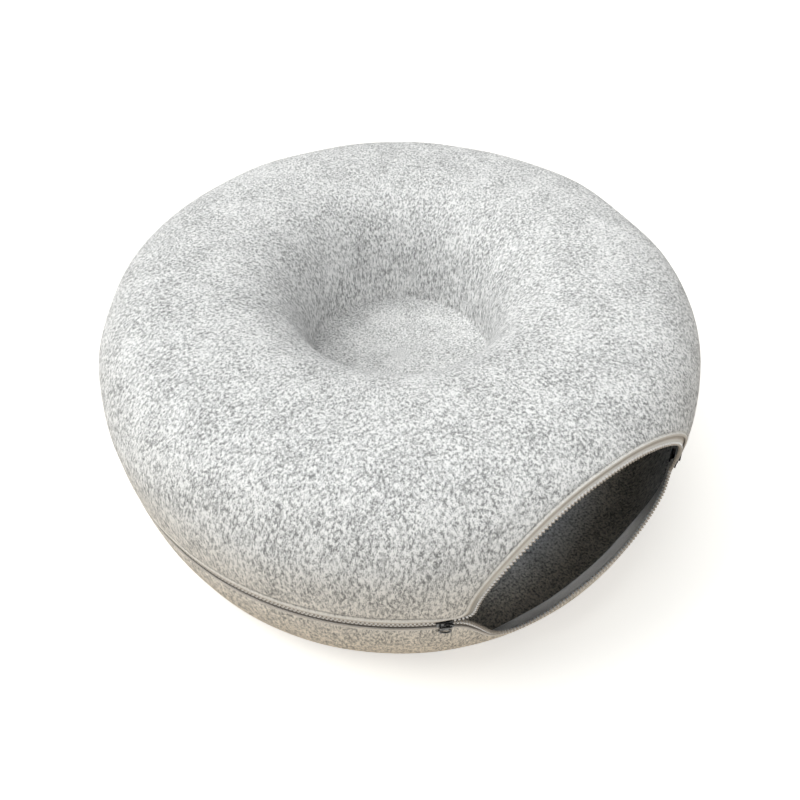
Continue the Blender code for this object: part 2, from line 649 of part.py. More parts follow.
def build_hub_coil(name, side, material):
    """One side of the hub zip's closed coil, drawn as a plain bead."""
    start = HUB_BOX_AZIMUTH + (HUB_BOX_LENGTH / 2 + CLEARANCE) / HUB_ZIP_RADIUS
    end = HUB_SLIDER_AZIMUTH - (SLIDER_LENGTH / 2 + SLIDER_END_GAP) / HUB_ZIP_RADIUS
    turns = np.linspace(start, end, HUB_COIL_STEPS)
    lines = [
        around(turns, HUB_ZIP_RADIUS, HUB_HEIGHT + side * up)
        for up in (CLEARANCE / 2, ROW_BACK_LINE)
    ]
    band(name, lines, HUB_COIL_THICKNESS, PARTS, material)


def build_hub_block(name, azimuth, length, side, low, material):
    """A small moulded block on one side of the hub zip."""
    mesh = bpy.data.meshes.new(name)
    shape = bmesh.new()
    bmesh.ops.create_cube(shape, size=1.0)
    high = ROW_BACK_LINE
    bmesh.ops.scale(shape, verts=shape.verts, vec=(length, HUB_BLOCK_THICKNESS, high - low))
    shape.to_mesh(mesh)
    shape.free()
    made = add_object(name, mesh, PARTS, material)
    made.location = around(azimuth, HUB_ZIP_RADIUS, HUB_HEIGHT + side * (low + high) / 2)
    made.rotation_euler = (0.0, 0.0, azimuth)


def main():
    felt = make_material("felt", (0.66, 0.65, 0.63), 0.95)
    tape = make_material("zip_tape", (0.66, 0.62, 0.55), 0.85)
    teeth = make_material("zip_teeth", (0.85, 0.85, 0.83), 0.35)
    metal = make_material("black_metal", (0.015, 0.015, 0.017), 0.35, 0.6)
    build_shells(felt)
    build_waist_tape("waist_upper_tape", arch_edge, 1, UPPER_FELT_EDGE, tape)
    build_waist_tape("waist_lower_tape", lip_edge, -1, LOWER_FELT_EDGE, tape)
    build_closed_rows(teeth)
    build_mouth_rows(teeth)
    slider, pull = slider_mesh(), pull_mesh()
    place_slider("left", -SLIDER_AZIMUTH, ZIP_RADIUS, ZIP_HEIGHT, 1, slider, pull, metal)
    place_slider("right", SLIDER_AZIMUTH, ZIP_RADIUS, ZIP_HEIGHT, -1, slider, pull, metal)
    for side, word in ((1, "upper"), (-1, "lower")):
        build_hub_tape(f"hub_{word}_tape", side, tape)
        build_hub_coil(f"hub_{word}_coil", side, teeth)
        build_hub_block(f"hub_{word}_stop", HUB_STOP_AZIMUTH, HUB_STOP_LENGTH, side,
                        PARTED_HALF, teeth)
    build_hub_block("hub_box", HUB_BOX_AZIMUTH, HUB_BOX_LENGTH, -1, CLEARANCE / 2, teeth)
    build_hub_block("hub_pin", HUB_BOX_AZIMUTH, HUB_PIN_LENGTH, 1, CLEARANCE / 2, teeth)
    place_slider("hub", HUB_SLIDER_AZIMUTH, HUB_ZIP_RADIUS, HUB_HEIGHT, 1, slider, pull, metal)


for leftover in list(bpy.data.objects):
    bpy.data.objects.remove(leftover)
PARTS = make_collection("donut_cat_tunnel")
CUTTERS = make_collection("cutters")
main()
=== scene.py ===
"""Looks of a round felt tunnel for a cat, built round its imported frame.

Lengths are in metres and +Z is up. An azimuth is measured from -Y, where the mouth is, towards +X.
A place on the body's wall is given as a length round it and a height along it, both counted from
the middle of the mouth at the waist zip, and a depth under the felt's face.
"""

import logging
import math
from collections.abc import Callable, Sequence
from dataclasses import dataclass, field
from enum import Enum
from functools import cached_property, reduce

import bmesh
import bpy
import numpy as np
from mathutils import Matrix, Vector


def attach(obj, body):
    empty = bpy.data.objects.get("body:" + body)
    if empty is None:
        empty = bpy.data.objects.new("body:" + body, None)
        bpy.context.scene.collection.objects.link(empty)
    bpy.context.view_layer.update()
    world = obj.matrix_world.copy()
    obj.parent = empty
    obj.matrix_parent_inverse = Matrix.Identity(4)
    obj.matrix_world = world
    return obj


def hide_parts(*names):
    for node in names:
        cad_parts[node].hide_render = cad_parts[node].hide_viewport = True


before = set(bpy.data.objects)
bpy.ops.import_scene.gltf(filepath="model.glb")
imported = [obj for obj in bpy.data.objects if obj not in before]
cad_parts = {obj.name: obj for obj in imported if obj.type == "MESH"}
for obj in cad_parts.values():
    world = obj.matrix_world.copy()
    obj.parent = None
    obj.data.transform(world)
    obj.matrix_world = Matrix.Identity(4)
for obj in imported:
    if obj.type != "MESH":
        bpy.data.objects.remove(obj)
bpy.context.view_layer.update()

LOG = logging.getLogger("cat_tunnel")
MM = 0.001
Colour = tuple[float, float, float]
Span = tuple[float, float]
Place = Callable[[np.ndarray, np.ndarray, np.ndarray], np.ndarray]


class Half(Enum):
    """The two halves of the tunnel, with the sign of the way from the zip into each one's felt."""

    UPPER = 1
    LOWER = -1

    @property
    def word(self) -> str:
        """The half's name as the frame spells it."""
        return self.name.lower()

    @property
    def body(self) -> str:
        """The frame's body that carries this half's pieces."""
        return f"{self.word}_half"

    @property
    def phase(self) -> float:
        """Where this half's first tooth stands in a meshed row, in pitches."""
        return 0.5 - 0.25 * self.value


# Numbers and curves


def superellipse(
    centre: tuple[float, float], reach: tuple[float, float], exponent: float, steps: int
) -> np.ndarray:
    """Points of a quarter superellipse: centre + reach * (cos t, sin t) ** (2 / exponent).

    Args:
        centre: Radius and height of the curve's centre.
        reach: Half axes, with a sign each.
        exponent: 2 for an ellipse, more for a squarer curve.
        steps: Number of steps.

    Returns:
        Array of steps + 1 points, from the end of the first half axis to that of the second.
    """
    turn = np.linspace(0, math.pi / 2, steps + 1)
    share = np.stack([np.cos(turn), np.sin(turn)], axis=1).clip(0) ** (2 / exponent)
    return np.asarray(centre) + share * np.asarray(reach)


def lengths_along(points: np.ndarray) -> np.ndarray:
    """Length of a line of points up to each of them."""
    steps = np.linalg.norm(np.diff(points, axis=0), axis=1)
    return np.concatenate([[0.0], np.cumsum(steps)])


def read_line(line: np.ndarray, lengths: np.ndarray, wanted: np.ndarray) -> np.ndarray:
    """Points of a line at the wanted lengths along it, by linear interpolation of each column."""
    wanted = np.asarray(wanted)
    return np.stack([np.interp(wanted, lengths, line[:, i]) for i in range(line.shape[1])], axis=-1)


def right_normals(line: np.ndarray) -> np.ndarray:
    """Unit vectors to the right of a flat line, from central differences of its points.

    Args:
        line: Points on a flat line, (n, 2).

    Returns:
        A vector for each point.
    """
    along = np.gradient(line, axis=0)
    along /= np.linalg.norm(along, axis=1)[:, None]
    return np.stack([along[:, 1], -along[:, 0]], axis=1)


def smoothed(values: np.ndarray, half: int) -> np.ndarray:
    """Moving average over half samples on each side, with the ends held."""
    padded = np.concatenate([np.full(half, values[0]), values, np.full(half, values[-1])])
    return np.convolve(padded, np.full(2 * half + 1, 1 / (2 * half + 1)), mode="valid")


def even_picks(closed: np.ndarray, count: int) -> np.ndarray:
    """Places on a closed line, counted in its points, that lie evenly along it from its start."""
    lengths = lengths_along(closed[:, :2])
    return np.interp(np.arange(count) * lengths[-1] / count, lengths, np.arange(len(closed)))


def pick(line: np.ndarray, picks: np.ndarray) -> np.ndarray:
    """Points of a line at places counted in its points."""
    return read_line(line, np.arange(len(line)), picks)


def eased(share: np.ndarray) -> np.ndarray:
    """Smooth step from 0 to 1: 3 s^2 - 2 s^3, with s held between 0 and 1."""
    share = np.clip(share, 0, 1)
    return share * share * (3 - 2 * share)


def around(azimuth: np.ndarray, radius: np.ndarray, height: np.ndarray) -> np.ndarray:
    """Points in space: (r sin a, -r cos a, z)."""
    parts = np.broadcast_arrays(radius * np.sin(azimuth), -radius * np.cos(azimuth), height)
    return np.stack(parts, axis=-1)


def direction(azimuth: float, height: float) -> Vector:
    """The way to a place seen at an azimuth and a height: (sin a cos h, -cos a cos h, sin h)."""
    level = math.cos(height)
    return Vector((math.sin(azimuth) * level, -math.cos(azimuth) * level, math.sin(height)))


def turned(profile: np.ndarray, turn: np.ndarray) -> list[np.ndarray]:
    """Rings of points at the given azimuths, one for each radius and height of a profile."""
    return [around(turn, radius, height) for radius, height in profile]


# Meshes


def into_scene(name: str, data: bpy.types.ID) -> bpy.types.Object:
    """Puts a new object with the given data into the scene, at the origin.

    Args:
        name: The object's name.
        data: What it shows: a mesh, a lamp or a camera.

    Returns:
        The object.
    """
    made = bpy.data.objects.new(name, data)
    bpy.context.scene.collection.objects.link(made)
    return made


def write_values(piece: bpy.types.Object, name: str, values: np.ndarray) -> None:
    """Gives each of a piece's points a number, under a name that its finish reads."""
    layer = piece.data.attributes.new(name, "FLOAT", "POINT")
    layer.data.foreach_set("value", values.astype(np.float32))


def corner_points(piece: bpy.types.Object) -> np.ndarray:
    """The number of the point at each corner of a piece's faces.

    Args:
        piece: An object with a mesh.

    Returns:
        A number for each corner.
    """
    corners = np.zeros(len(piece.data.loops), np.int32)
    piece.data.loops.foreach_get("vertex_index", corners)
    return corners


def write_map(piece: bpy.types.Object, along: np.ndarray, across: np.ndarray) -> None:
    """Maps each corner of a strip's faces by its lengths along and across the strip, in metres."""
    layer = piece.data.uv_layers.new(name="strip")
    layer.data.foreach_set("uv", np.stack([along, across], axis=1).astype(np.float32).ravel())


@dataclass
class MeshData:
    """Points with four-sided and three-sided faces, ready for a mesh."""

    points: np.ndarray
    quads: np.ndarray
    tris: np.ndarray = field(default_factory=lambda: np.zeros((0, 3), int))

    def volume(self) -> float:
        """Signed volume: a sixth of the sum of each triangle's triple product."""
        tris = np.vstack([self.tris, self.quads[:, :3], self.quads[:, [0, 2, 3]]])
        a, b, c = (self.points[tris[:, i]] for i in range(3))
        return float(np.einsum("ij,ij->i", a, np.cross(b, c)).sum() / 6)

    def facing_out(self) -> "MeshData":
        """The shape with its faces turned round if its volume is below zero."""
        if self.volume() >= 0:
            return self
        return MeshData(self.points, self.quads[:, ::-1], self.tris[:, ::-1])

    def to_object(self, name: str, material: bpy.types.Material) -> bpy.types.Object:
        """Puts the shape into the scene as a smooth object at the origin.

        Args:
            name: Name of the object and its mesh.
            material: What it is made of.

        Returns:
            The new object.
        """
        shape = self.facing_out()
        mesh = bpy.data.meshes.new(name)
        corners = np.concatenate([shape.quads.ravel(), shape.tris.ravel()]).astype(np.int32)
        sides = np.repeat([4, 3], [len(shape.quads), len(shape.tris)])
        starts = np.concatenate([[0], np.cumsum(sides)[:-1]]).astype(np.int32)
        mesh.vertices.add(len(shape.points))
        mesh.vertices.foreach_set("co", shape.points.astype(np.float32).ravel())
        mesh.loops.add(len(corners))
        mesh.loops.foreach_set("vertex_index", corners)
        mesh.polygons.add(len(sides))
        mesh.polygons.foreach_set("loop_start", starts)
        mesh.update(calc_edges=True)
        mesh.polygons.foreach_set("use_smooth", np.ones(len(sides), bool))
        mesh.materials.append(material)
        LOG.info("%s: %d faces", name, len(sides))
        return into_scene(name, mesh)


def ring_quads(rows: int, columns: int, closed: bool) -> np.ndarray:
    """Faces between neighbouring rings of points, and from the last to the first if closed.

    Args:
        rows: How many rings there are.
        columns: How many points each ring has.
        closed: Whether the last ring meets the first.

    Returns:
        Four points' numbers for each face.
    """
    row = np.arange(rows if closed else rows - 1)[:, None]
    column = np.arange(columns)
    after, beside = (row + 1) % rows, (column + 1) % columns
    return np.stack(np.broadcast_arrays(
        row * columns + column, row * columns + beside,
        after * columns + beside, after * columns + column,
    ), axis=-1).reshape(-1, 4)


def lofted(sections: np.ndarray, closed: bool, ends: np.ndarray | None = None) -> MeshData:
    """A solid from closed cross-sections carried along a path.

    Args:
        sections: Stations by section points by 3.
        closed: Whether the path meets itself; if not, a fan closes each end.
        ends: The fans' two middles, or nothing for the middles of the end sections.

    Returns:
        The solid's faces.
    """
    count, around_it = sections.shape[:2]
    points = sections.reshape(-1, 3)
    quads = ring_quads(count, around_it, closed)
    if closed:
        return MeshData(points, quads)
    if ends is None:
        ends = np.stack([sections[0].mean(axis=0), sections[-1].mean(axis=0)])
    at = np.arange(around_it)
    beside, last = (at + 1) % around_it, (count - 1) * around_it
    near = np.stack([np.full(around_it, len(points)), beside, at], axis=1)
    far = np.stack([np.full(around_it, len(points) + 1), last + at, last + beside], axis=1)
    return MeshData(np.vstack([points, ends]), quads, np.vstack([near, far]))


def stacked(outlines: Sequence[np.ndarray], levels: Sequence[float]) -> MeshData:
    """A small solid from flat outlines of equally many points, one above the other."""
    sections = np.stack([
        np.column_stack([outline, np.full(len(outline), level)])
        for outline, level in zip(outlines, levels)
    ])
    return lofted(sections, closed=False)


def repeated(shape: MeshData, stations: np.ndarray, place: Place) -> MeshData:
    """Copies of a small shape along a line.

    Args:
        shape: Its x runs along the line, its y into the felt and its z outwards.
        stations: Lengths along the line of the copies' middles.
        place: Turns lengths along, into and out of the line into points in space.

    Returns:
        All copies in one shape.
    """
    along = stations[:, None] + shape.points[:, 0]
    points = place(along, shape.points[:, 1], shape.points[:, 2]).reshape(-1, 3)
    shift = (np.arange(len(stations)) * len(shape.points))[:, None, None]
    return MeshData(
        points,
        (shape.quads + shift).reshape(-1, 4),
        (shape.tris + shift).reshape(-1, 3),
    ).facing_out()


def ride(
    piece: bpy.types.Object, body: str, nodes: Sequence[str] = ()
) -> bpy.types.Object:
    """Fastens a piece to a body and hides the frame's nodes that it stands for.

    Args:
        piece: The piece.
        body: The frame's body that it moves with.
        nodes: The nodes that it stands for, if any.

    Returns:
        The piece.
    """
    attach(piece, body)
    if nodes:
        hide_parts(*nodes)
    return piece


# Materials


class Graph:
    """A material's node tree, with short calls for its nodes and links."""

    def __init__(self, name: str) -> None:
        """Makes the material, empty but for its shader.

        Args:
            name: The material's name.
        """
        self.material = bpy.data.materials.new(name)
        self.material.use_nodes = True
        self.tree = self.material.node_tree
        self.shader = self.tree.nodes["Principled BSDF"]

    def feed(self, socket: bpy.types.NodeSocket, value: object) -> None:
        """Links a socket to another node's output, or sets it to a constant."""
        if isinstance(value, bpy.types.NodeSocket):
            self.tree.links.new(value, socket)
        elif isinstance(value, tuple) and len(value) == 3 and len(socket.default_value) == 4:
            socket.default_value = (*value, 1.0)
        else:
            socket.default_value = value

    def node(self, kind: str, inputs: dict | None = None, **settings: object) -> bpy.types.Node:
        """Adds a node.

        Args:
            kind: Blender's name for the node's type.
            inputs: Values or outputs for its sockets, by name or number.
            **settings: The node's own settings.

        Returns:
            The node.
        """
        made = self.tree.nodes.new(kind)
        for name, value in settings.items():
            setattr(made, name, value)
        for key, value in (inputs or {}).items():
            self.feed(made.inputs[key], value)
        return made

    def math(self, operation: str, *values: object, clamp: bool = False) -> bpy.types.NodeSocket:
        """One sum, product or other operation on numbers."""
        made = self.node("ShaderNodeMath", dict(enumerate(values)), operation=operation,
                         use_clamp=clamp)
        return made.outputs[0]

    def times(self, *values: object) -> bpy.types.NodeSocket:
        """The product of two or more numbers."""
        return reduce(lambda first, second: self.math("MULTIPLY", first, second), values)

    def plus(self, first: object, second: object, clamp: bool = False) -> bpy.types.NodeSocket:
        """The sum of two numbers, held between 0 and 1 if clamp is set."""
        return self.math("ADD", first, second, clamp=clamp)

    def span(self, value: object, low: float, high: float, first: float = 0.0,
             last: float = 1.0) -> bpy.types.NodeSocket:
        """A value's place between low and high, carried over to first and last and held there."""
        inputs = {"Value": value, "From Min": low, "From Max": high,
                  "To Min": first, "To Max": last}
        return self.node("ShaderNodeMapRange", inputs, clamp=True).outputs["Result"]

    def noise(self, vector: object, scale: float, detail: float = 2.0, roughness: float = 0.5,
              distortion: float = 0.0, output: str = "Fac") -> bpy.types.NodeSocket:
        """Cloudy noise, 0.5 on average, with features about as long as 1 / scale."""
        inputs = {"Vector": vector, "Scale": scale, "Detail": detail, "Roughness": roughness,
                  "Distortion": distortion}
        return self.node("ShaderNodeTexNoise", inputs).outputs[output]

    def mix(self, factor: object, first: object, second: object,
            blend: str = "MIX") -> bpy.types.NodeSocket:
        """Two colours mixed by a factor.

        Args:
            factor: Share of the second colour.
            first: The colour at 0.
            second: The colour at 1.
            blend: How the second colour is laid on.

        Returns:
            The mixed colour's socket.
        """
        made = self.node("ShaderNodeMix", data_type="RGBA", blend_type=blend)
        for index, value in ((0, factor), (6, first), (7, second)):
            self.feed(made.inputs[index], value)
        return made.outputs[2]

    def tint(self, colour: object, by: object) -> bpy.types.NodeSocket:
        """A colour multiplied by another one."""
        return self.mix(1.0, colour, by, "MULTIPLY")

    def vector(self, operation: str, first: object, second: object) -> bpy.types.NodeSocket:
        """One operation on vectors.

        Args:
            operation: Blender's name for it.
            first: A vector.
            second: A vector, or the factor of a SCALE.

        Returns:
            The result's socket.
        """
        key = "Scale" if operation == "SCALE" else 1
        made = self.node("ShaderNodeVectorMath", {0: first, key: second}, operation=operation)
        return made.outputs[0]

    def attribute(self, name: str, output: str = "Fac") -> bpy.types.NodeSocket:
        """A value that the piece's mesh carries."""
        return self.node("ShaderNodeAttribute", attribute_name=name).outputs[output]

    def place(self, output: str = "Object") -> bpy.types.NodeSocket:
        """The point's place on the piece."""
        return self.node("ShaderNodeTexCoord").outputs[output]

    def ramp(self, value: object, stops: Sequence[tuple[float, tuple]]) -> bpy.types.NodeSocket:
        """A colour read from stops by a value between 0 and 1.

        Args:
            value: Where the colour is read.
            stops: Places from 0 to 1, each with its colour.

        Returns:
            The colour's socket.
        """
        made = self.node("ShaderNodeValToRGB", {0: value})
        line = made.color_ramp.elements
        while len(line) < len(stops):
            line.new(0.5)
        for element, (position, colour) in zip(line, stops):
            element.position, element.color = position, (*colour, 1.0)
        return made.outputs["Color"]

    def bump(self, height: object, strength: float, distance: float) -> None:
        """Raises the surface's shading by a height."""
        inputs = {"Height": height, "Strength": strength, "Distance": distance}
        self.feed(self.shader.inputs["Normal"], self.node("ShaderNodeBump", inputs).outputs[0])

    def set(self, **values: object) -> None:
        """Feeds the shader's sockets, named with underscores for spaces."""
        for name, value in values.items():
            self.feed(self.shader.inputs[name.replace("_", " ")], value)


def grey(value: float, warmth: float = 0.0) -> Colour:
    """A grey, turned to warm or cool by a small amount."""
    return (value * (1 + warmth), value, value * (1 - 1.3 * warmth))


def scaled(colour: Colour, share: float) -> Colour:
    """A colour made darker or lighter by a share, with white as its limit."""
    return tuple(min(1.0, share * part) for part in colour)


@dataclass(frozen=True)
class Hairs:
    """Loose hairs of one grey on the felt.

    Attributes:
        tone: Their grey.
        ridge: How far from the pattern's ridges a hair begins to show, and shows fully.
        breaks: Values of a slower pattern between which the hairs come in.
        cover: How much they hide what lies under them.
    """

    tone: float
    ridge: Span
    breaks: Span
    cover: float


@dataclass(frozen=True)
class FeltFinish:
    """Moulded heather felt: pale matted fibres with dark ones among them.

    A scale is a pattern's fineness, a span the two values between which a change runs. The edge
    is the mesh's value of that name: a distance from the felt's edge, divided by the hem's share.

    Attributes:
        pale, middle, dark, darkest: The matted fibres' greys.
        bend_scale, bend: How finely and how far the fibres wander off their way.
        tuft_scale, fibre_scale: The matted tufts and the fibres in them, drawn along the flow.
        tuft_share, fibre_share: How much each of the two counts in the felt's tone.
        tone_span: The pattern's values at the darkest and at the palest tone.
        cloud_scale, cloud: The slow change of tone over the whole shell.
        hair_scale, break_scale: The loose hairs and the gaps in them.
        dark_hairs, pale_hairs: The two kinds of loose hairs.
        clump_scale, clump: The dark clumps and their grey.
        low_warmth: How much warmer the felt is near the floor.
        low_span, outer_span: Heights and radii over which that warmth comes in.
        groove_spans, groove: Where the painted shade in the sewn groove lies from the edge, and its
            grey.
        edge_highlight_span, hem: The same of the painted highlight on the hem's face.
        fold_span, fold: The same of the edge where the hem is turned in.
        hem_cover: How much the painted highlight and the fold's tone cover the fibres.
        inside_painted_shade, inside_shade_tint: Painted shade on the face inside the tunnel: the
            share of its colour that is kept, and the cool tint of that shade.
    """

    pale: float = 0.92
    middle: float = 0.70
    dark: float = 0.45
    darkest: float = 0.24
    bend_scale: float = 130.0
    bend: float = 0.0022
    tuft_scale: float = 560.0
    fibre_scale: float = 1700.0
    tuft_share: float = 0.66
    fibre_share: float = 0.34
    tone_span: Span = (0.39, 0.60)
    cloud_scale: float = 38.0
    cloud: float = 0.12
    hair_scale: float = 150.0
    break_scale: float = 70.0
    dark_hairs: Hairs = Hairs(0.24, (0.010, 0.003), (0.50, 0.56), 0.55)
    pale_hairs: Hairs = Hairs(0.90, (0.012, 0.004), (0.46, 0.40), 0.40)
    clump_scale: float = 230.0
    clump: float = 0.36
    low_warmth: float = 0.135
    low_span: Span = (0.155, 0.015)
    outer_span: Span = (0.17, 0.21)
    groove_spans: tuple[Span, Span] = ((0.0024, 0.0029), (0.0038, 0.0032))
    groove: float = 0.26
    edge_highlight_span: Span = (0.0027, 0.0021)
    hem: Colour = (0.97, 0.94, 0.89)
    fold_span: Span = (0.0013, 0.0007)
    fold: Colour = (0.64, 0.57, 0.49)
    hem_cover: float = 0.8
    inside_painted_shade: float = 0.80
    inside_shade_tint: Colour = (0.94, 1.0, 1.09)

    def material(self) -> bpy.types.Material:
        """Builds the material from the mesh's flow, edge and inside values."""
        g = Graph("heather_felt")
        flow = g.attribute("flow", "Vector")
        warp = g.vector("SUBTRACT", g.noise(flow, self.bend_scale, 1.0, output="Color"),
                        (0.5, 0.5, 0.5))
        bent = g.vector("ADD", flow, g.vector("SCALE", warp, self.bend))
        tone = self.fibres(g, bent)
        colour = g.ramp(tone, [
            (0.0, grey(self.darkest)), (0.22, grey(self.dark)), (0.52, grey(self.middle)),
            (0.80, grey(self.pale, 0.004)), (1.0, grey(self.pale * 1.06, 0.006)),
        ])
        colour, pale = self.hairs(g, colour, flow, bent)
        colour = self.hem_tones(g, self.warmed(g, colour))
        # Painted shade: the face inside the tunnel is darkened and cooled to stand in for the shade
        # in there.
        inner = g.tint(colour, tuple(self.inside_painted_shade * part for part in self.inside_shade_tint))
        colour = g.mix(g.attribute("inside"), colour, inner)
        g.bump(g.plus(g.times(tone, 0.7), g.times(pale, 0.3)), 0.5, 0.0008)
        g.set(Base_Color=colour, Roughness=0.96, Sheen_Weight=0.18, Sheen_Roughness=0.6,
              Specular_IOR_Level=0.15)
        return g.material

    def fibres(self, g: Graph, bent: bpy.types.NodeSocket) -> bpy.types.NodeSocket:
        """The matted fibres' tone from 0 to 1: tufts and fibres, raised and lowered by clouds.

        Args:
            g: The material's graph.
            bent: The place that the fibres are read at.

        Returns:
            The tone's socket.
        """
        tufts = g.noise(bent, self.tuft_scale, 3.0, 0.60)
        fine = g.noise(bent, self.fibre_scale, 1.0)
        tone = g.plus(g.times(tufts, self.tuft_share), g.times(fine, self.fibre_share))
        cloud = g.span(g.noise(g.place(), self.cloud_scale, 3.0), 0.3, 0.7,
                       -self.cloud, self.cloud)
        return g.plus(g.span(tone, *self.tone_span), cloud, clamp=True)

    def hairs(self, g: Graph, colour: object, flow: bpy.types.NodeSocket,
              bent: bpy.types.NodeSocket) -> tuple[bpy.types.NodeSocket, bpy.types.NodeSocket]:
        """Lays dark and pale loose hairs and dark clumps on a colour.

        Args:
            g: The felt's node tree.
            colour: The matted fibres' colour.
            flow: The way the felt was drawn.
            bent: The same with the fibres' wandering.

        Returns:
            The new colour, and where the pale hairs lie.
        """
        ridge = g.math("ABSOLUTE", g.math(
            "SUBTRACT", g.noise(bent, self.hair_scale, 1.5, 0.6, 0.6), 0.5))
        broken = g.noise(flow, self.break_scale, 1.0)
        for kind in (self.dark_hairs, self.pale_hairs):
            where = g.times(g.span(ridge, *kind.ridge), g.span(broken, *kind.breaks))
            colour = g.mix(g.times(where, kind.cover), colour, grey(kind.tone))
        clumps = g.span(g.noise(flow, self.clump_scale, 1.0), 0.66, 0.74, 0.0, 0.45)
        return g.mix(clumps, colour, grey(self.clump)), where

    def warmed(self, g: Graph, colour: object) -> bpy.types.NodeSocket:
        """A colour made warmer low down on the outer wall.

        Args:
            g: The material's graph.
            colour: The felt's colour so far.

        Returns:
            The colour's socket.
        """
        height = g.node("ShaderNodeSeparateXYZ", {0: g.place()}).outputs["Z"]
        level = g.vector("MULTIPLY", g.place(), (1.0, 1.0, 0.0))
        radius = g.node("ShaderNodeVectorMath", {0: level}, operation="LENGTH").outputs["Value"]
        low = g.times(g.span(height, *self.low_span), g.span(radius, *self.outer_span))
        warm = (1.0, 1 - self.low_warmth, 1 - 2.3 * self.low_warmth)
        return g.tint(colour, g.mix(low, (1.0, 1.0, 1.0), warm))

    def hem_tones(self, g: Graph, colour: object) -> bpy.types.NodeSocket:
        """A colour with painted shade in the groove, a painted highlight on the hem's face and its
        darker turned-in edge.

        Args:
            g: The material's graph.
            colour: The felt's colour so far.

        Returns:
            The colour's socket.
        """
        edge = g.attribute("edge")
        rising, falling = self.groove_spans
        # Painted shade in the sewn groove beside the edge.
        groove_shade = g.times(g.span(edge, *rising), g.span(edge, *falling))
        colour = g.mix(g.times(groove_shade, 0.5), colour, grey(self.groove))
        # A painted highlight along the hem's face, then the darker tan of its turned-in edge.
        for span, tone in ((self.edge_highlight_span, self.hem), (self.fold_span, self.fold)):
            colour = g.mix(g.span(edge, *span, 0.0, self.hem_cover), colour, tone)
        return colour


@dataclass(frozen=True)
class TapeFinish:
    """Woven zip tape, ribbed along its length and crossed by fine picks.

    A span is a pair of distances in from the teeth's crests between which a change runs.

    Attributes:
        colour: The yarn's colour.
        behind: Painted light on its face towards the tunnel: a tint above 1 that makes that face
            paler and bluer, as if lit.
        rib: Distance between the ribs that run along the tape.
        pick: Distance between the picks that cross it.
        shade, painted_shade_span: Painted shade beside the meshed rows: how dark, as a share, and
            where.
        cord, cord_spans: Colour and place of the pale cord behind the parted rows.
        selvedge, selvedge_highlight_span: Colour and place of the free edge, near white as a
            painted highlight.
    """

    colour: Colour = (0.58, 0.51, 0.44)
    behind: Colour = (1.66, 1.84, 2.05)
    rib: float = 0.00062
    pick: float = 0.00085
    shade: float = 0.26
    painted_shade_span: Span = (0.0056, 0.0034)
    cord: Colour = (0.90, 0.87, 0.81)
    cord_spans: tuple[Span, Span] = ((0.0044, 0.0034), (0.0016, 0.0022))
    selvedge: Colour = (0.96, 0.95, 0.93)
    selvedge_highlight_span: Span = (0.0129, 0.0135)

    def material(self) -> bpy.types.Material:
        """Builds the material on the tape's own map: u along it and v across, in metres."""
        g = Graph("woven_tape")
        split = g.node("ShaderNodeSeparateXYZ", {0: g.place("UV")})
        along, across = split.outputs["X"], split.outputs["Y"]
        rib = g.math("SINE", g.times(across, math.tau / self.rib))
        leant = g.plus(along, g.times(rib, self.pick * 0.18))
        pick = g.math("SINE", g.times(leant, math.tau / self.pick))
        weave = g.plus(g.plus(g.times(rib, 0.22), g.times(pick, 0.28)), 0.5, clamp=True)
        yarn = g.noise(g.place(), 900.0, 2.0)
        colour = g.ramp(g.plus(g.times(weave, 0.75), g.times(yarn, 0.25)), [
            (0.15, scaled(self.colour, 0.66)), (0.5, self.colour),
            (0.9, scaled(self.colour, 1.14)),
        ])
        mouth = g.attribute("mouth")
        # Painted shade on the tape beside the meshed rows, but not along the mouth.
        near = g.times(g.span(across, *self.painted_shade_span), 0.90, g.math("SUBTRACT", 1.0, mouth))
        colour = g.mix(near, colour, scaled(self.colour, self.shade))
        inner, outer = (g.span(across, *span) for span in self.cord_spans)
        colour = g.mix(g.times(inner, outer, 0.85, mouth), colour, self.cord)
        # Painted light: the face towards the tunnel is made paler and bluer, as if lit.
        colour = g.mix(g.attribute("behind"), colour, g.tint(colour, self.behind))
        # A painted highlight along the free selvedge.
        colour = g.mix(g.span(across, *self.selvedge_highlight_span), colour, self.selvedge)
        soil = g.span(g.noise(g.place(), 45.0, 2.0), 0.35, 0.65, 0.94, 1.03)
        soiled = g.node("ShaderNodeCombineColor", {"Red": soil, "Green": soil, "Blue": soil})
        g.bump(weave, 0.6, 0.00025)
        g.set(Base_Color=g.tint(colour, soiled.outputs[0]), Roughness=0.82, Sheen_Weight=0.12,
              Sheen_Roughness=0.4, Specular_IOR_Level=0.3)
        return g.material


@dataclass(frozen=True)
class MouldedFinish:
    """Moulded zip teeth: bright off-white and slightly cloudy, with painted shade on their heads.

    Attributes:
        pale, dull: The blocks' greys.
        head: Colour of the painted shade on the heads, which lie in the row's shade.
    """

    pale: float = 0.98
    dull: float = 0.90
    head: Colour = (0.46, 0.40, 0.33)

    def material(self) -> bpy.types.Material:
        """Builds the material from the teeth's place in the piece and their head value."""
        g = Graph("moulded_teeth")
        cloud = g.noise(g.place(), 420.0, 2.0, 0.6)
        wear = g.noise(g.place(), 2600.0, 2.0, 0.6)
        colour = g.ramp(cloud, [(0.3, grey(self.dull, 0.012)), (0.65, grey(self.pale, 0.004))])
        # Painted shade on the teeth's heads.
        colour = g.mix(g.attribute("head"), colour, self.head)
        g.bump(wear, 0.08, 0.0001)
        g.set(Base_Color=colour, Roughness=g.span(wear, 0.35, 0.7, 0.22, 0.42),
              Specular_IOR_Level=0.55)
        return g.material


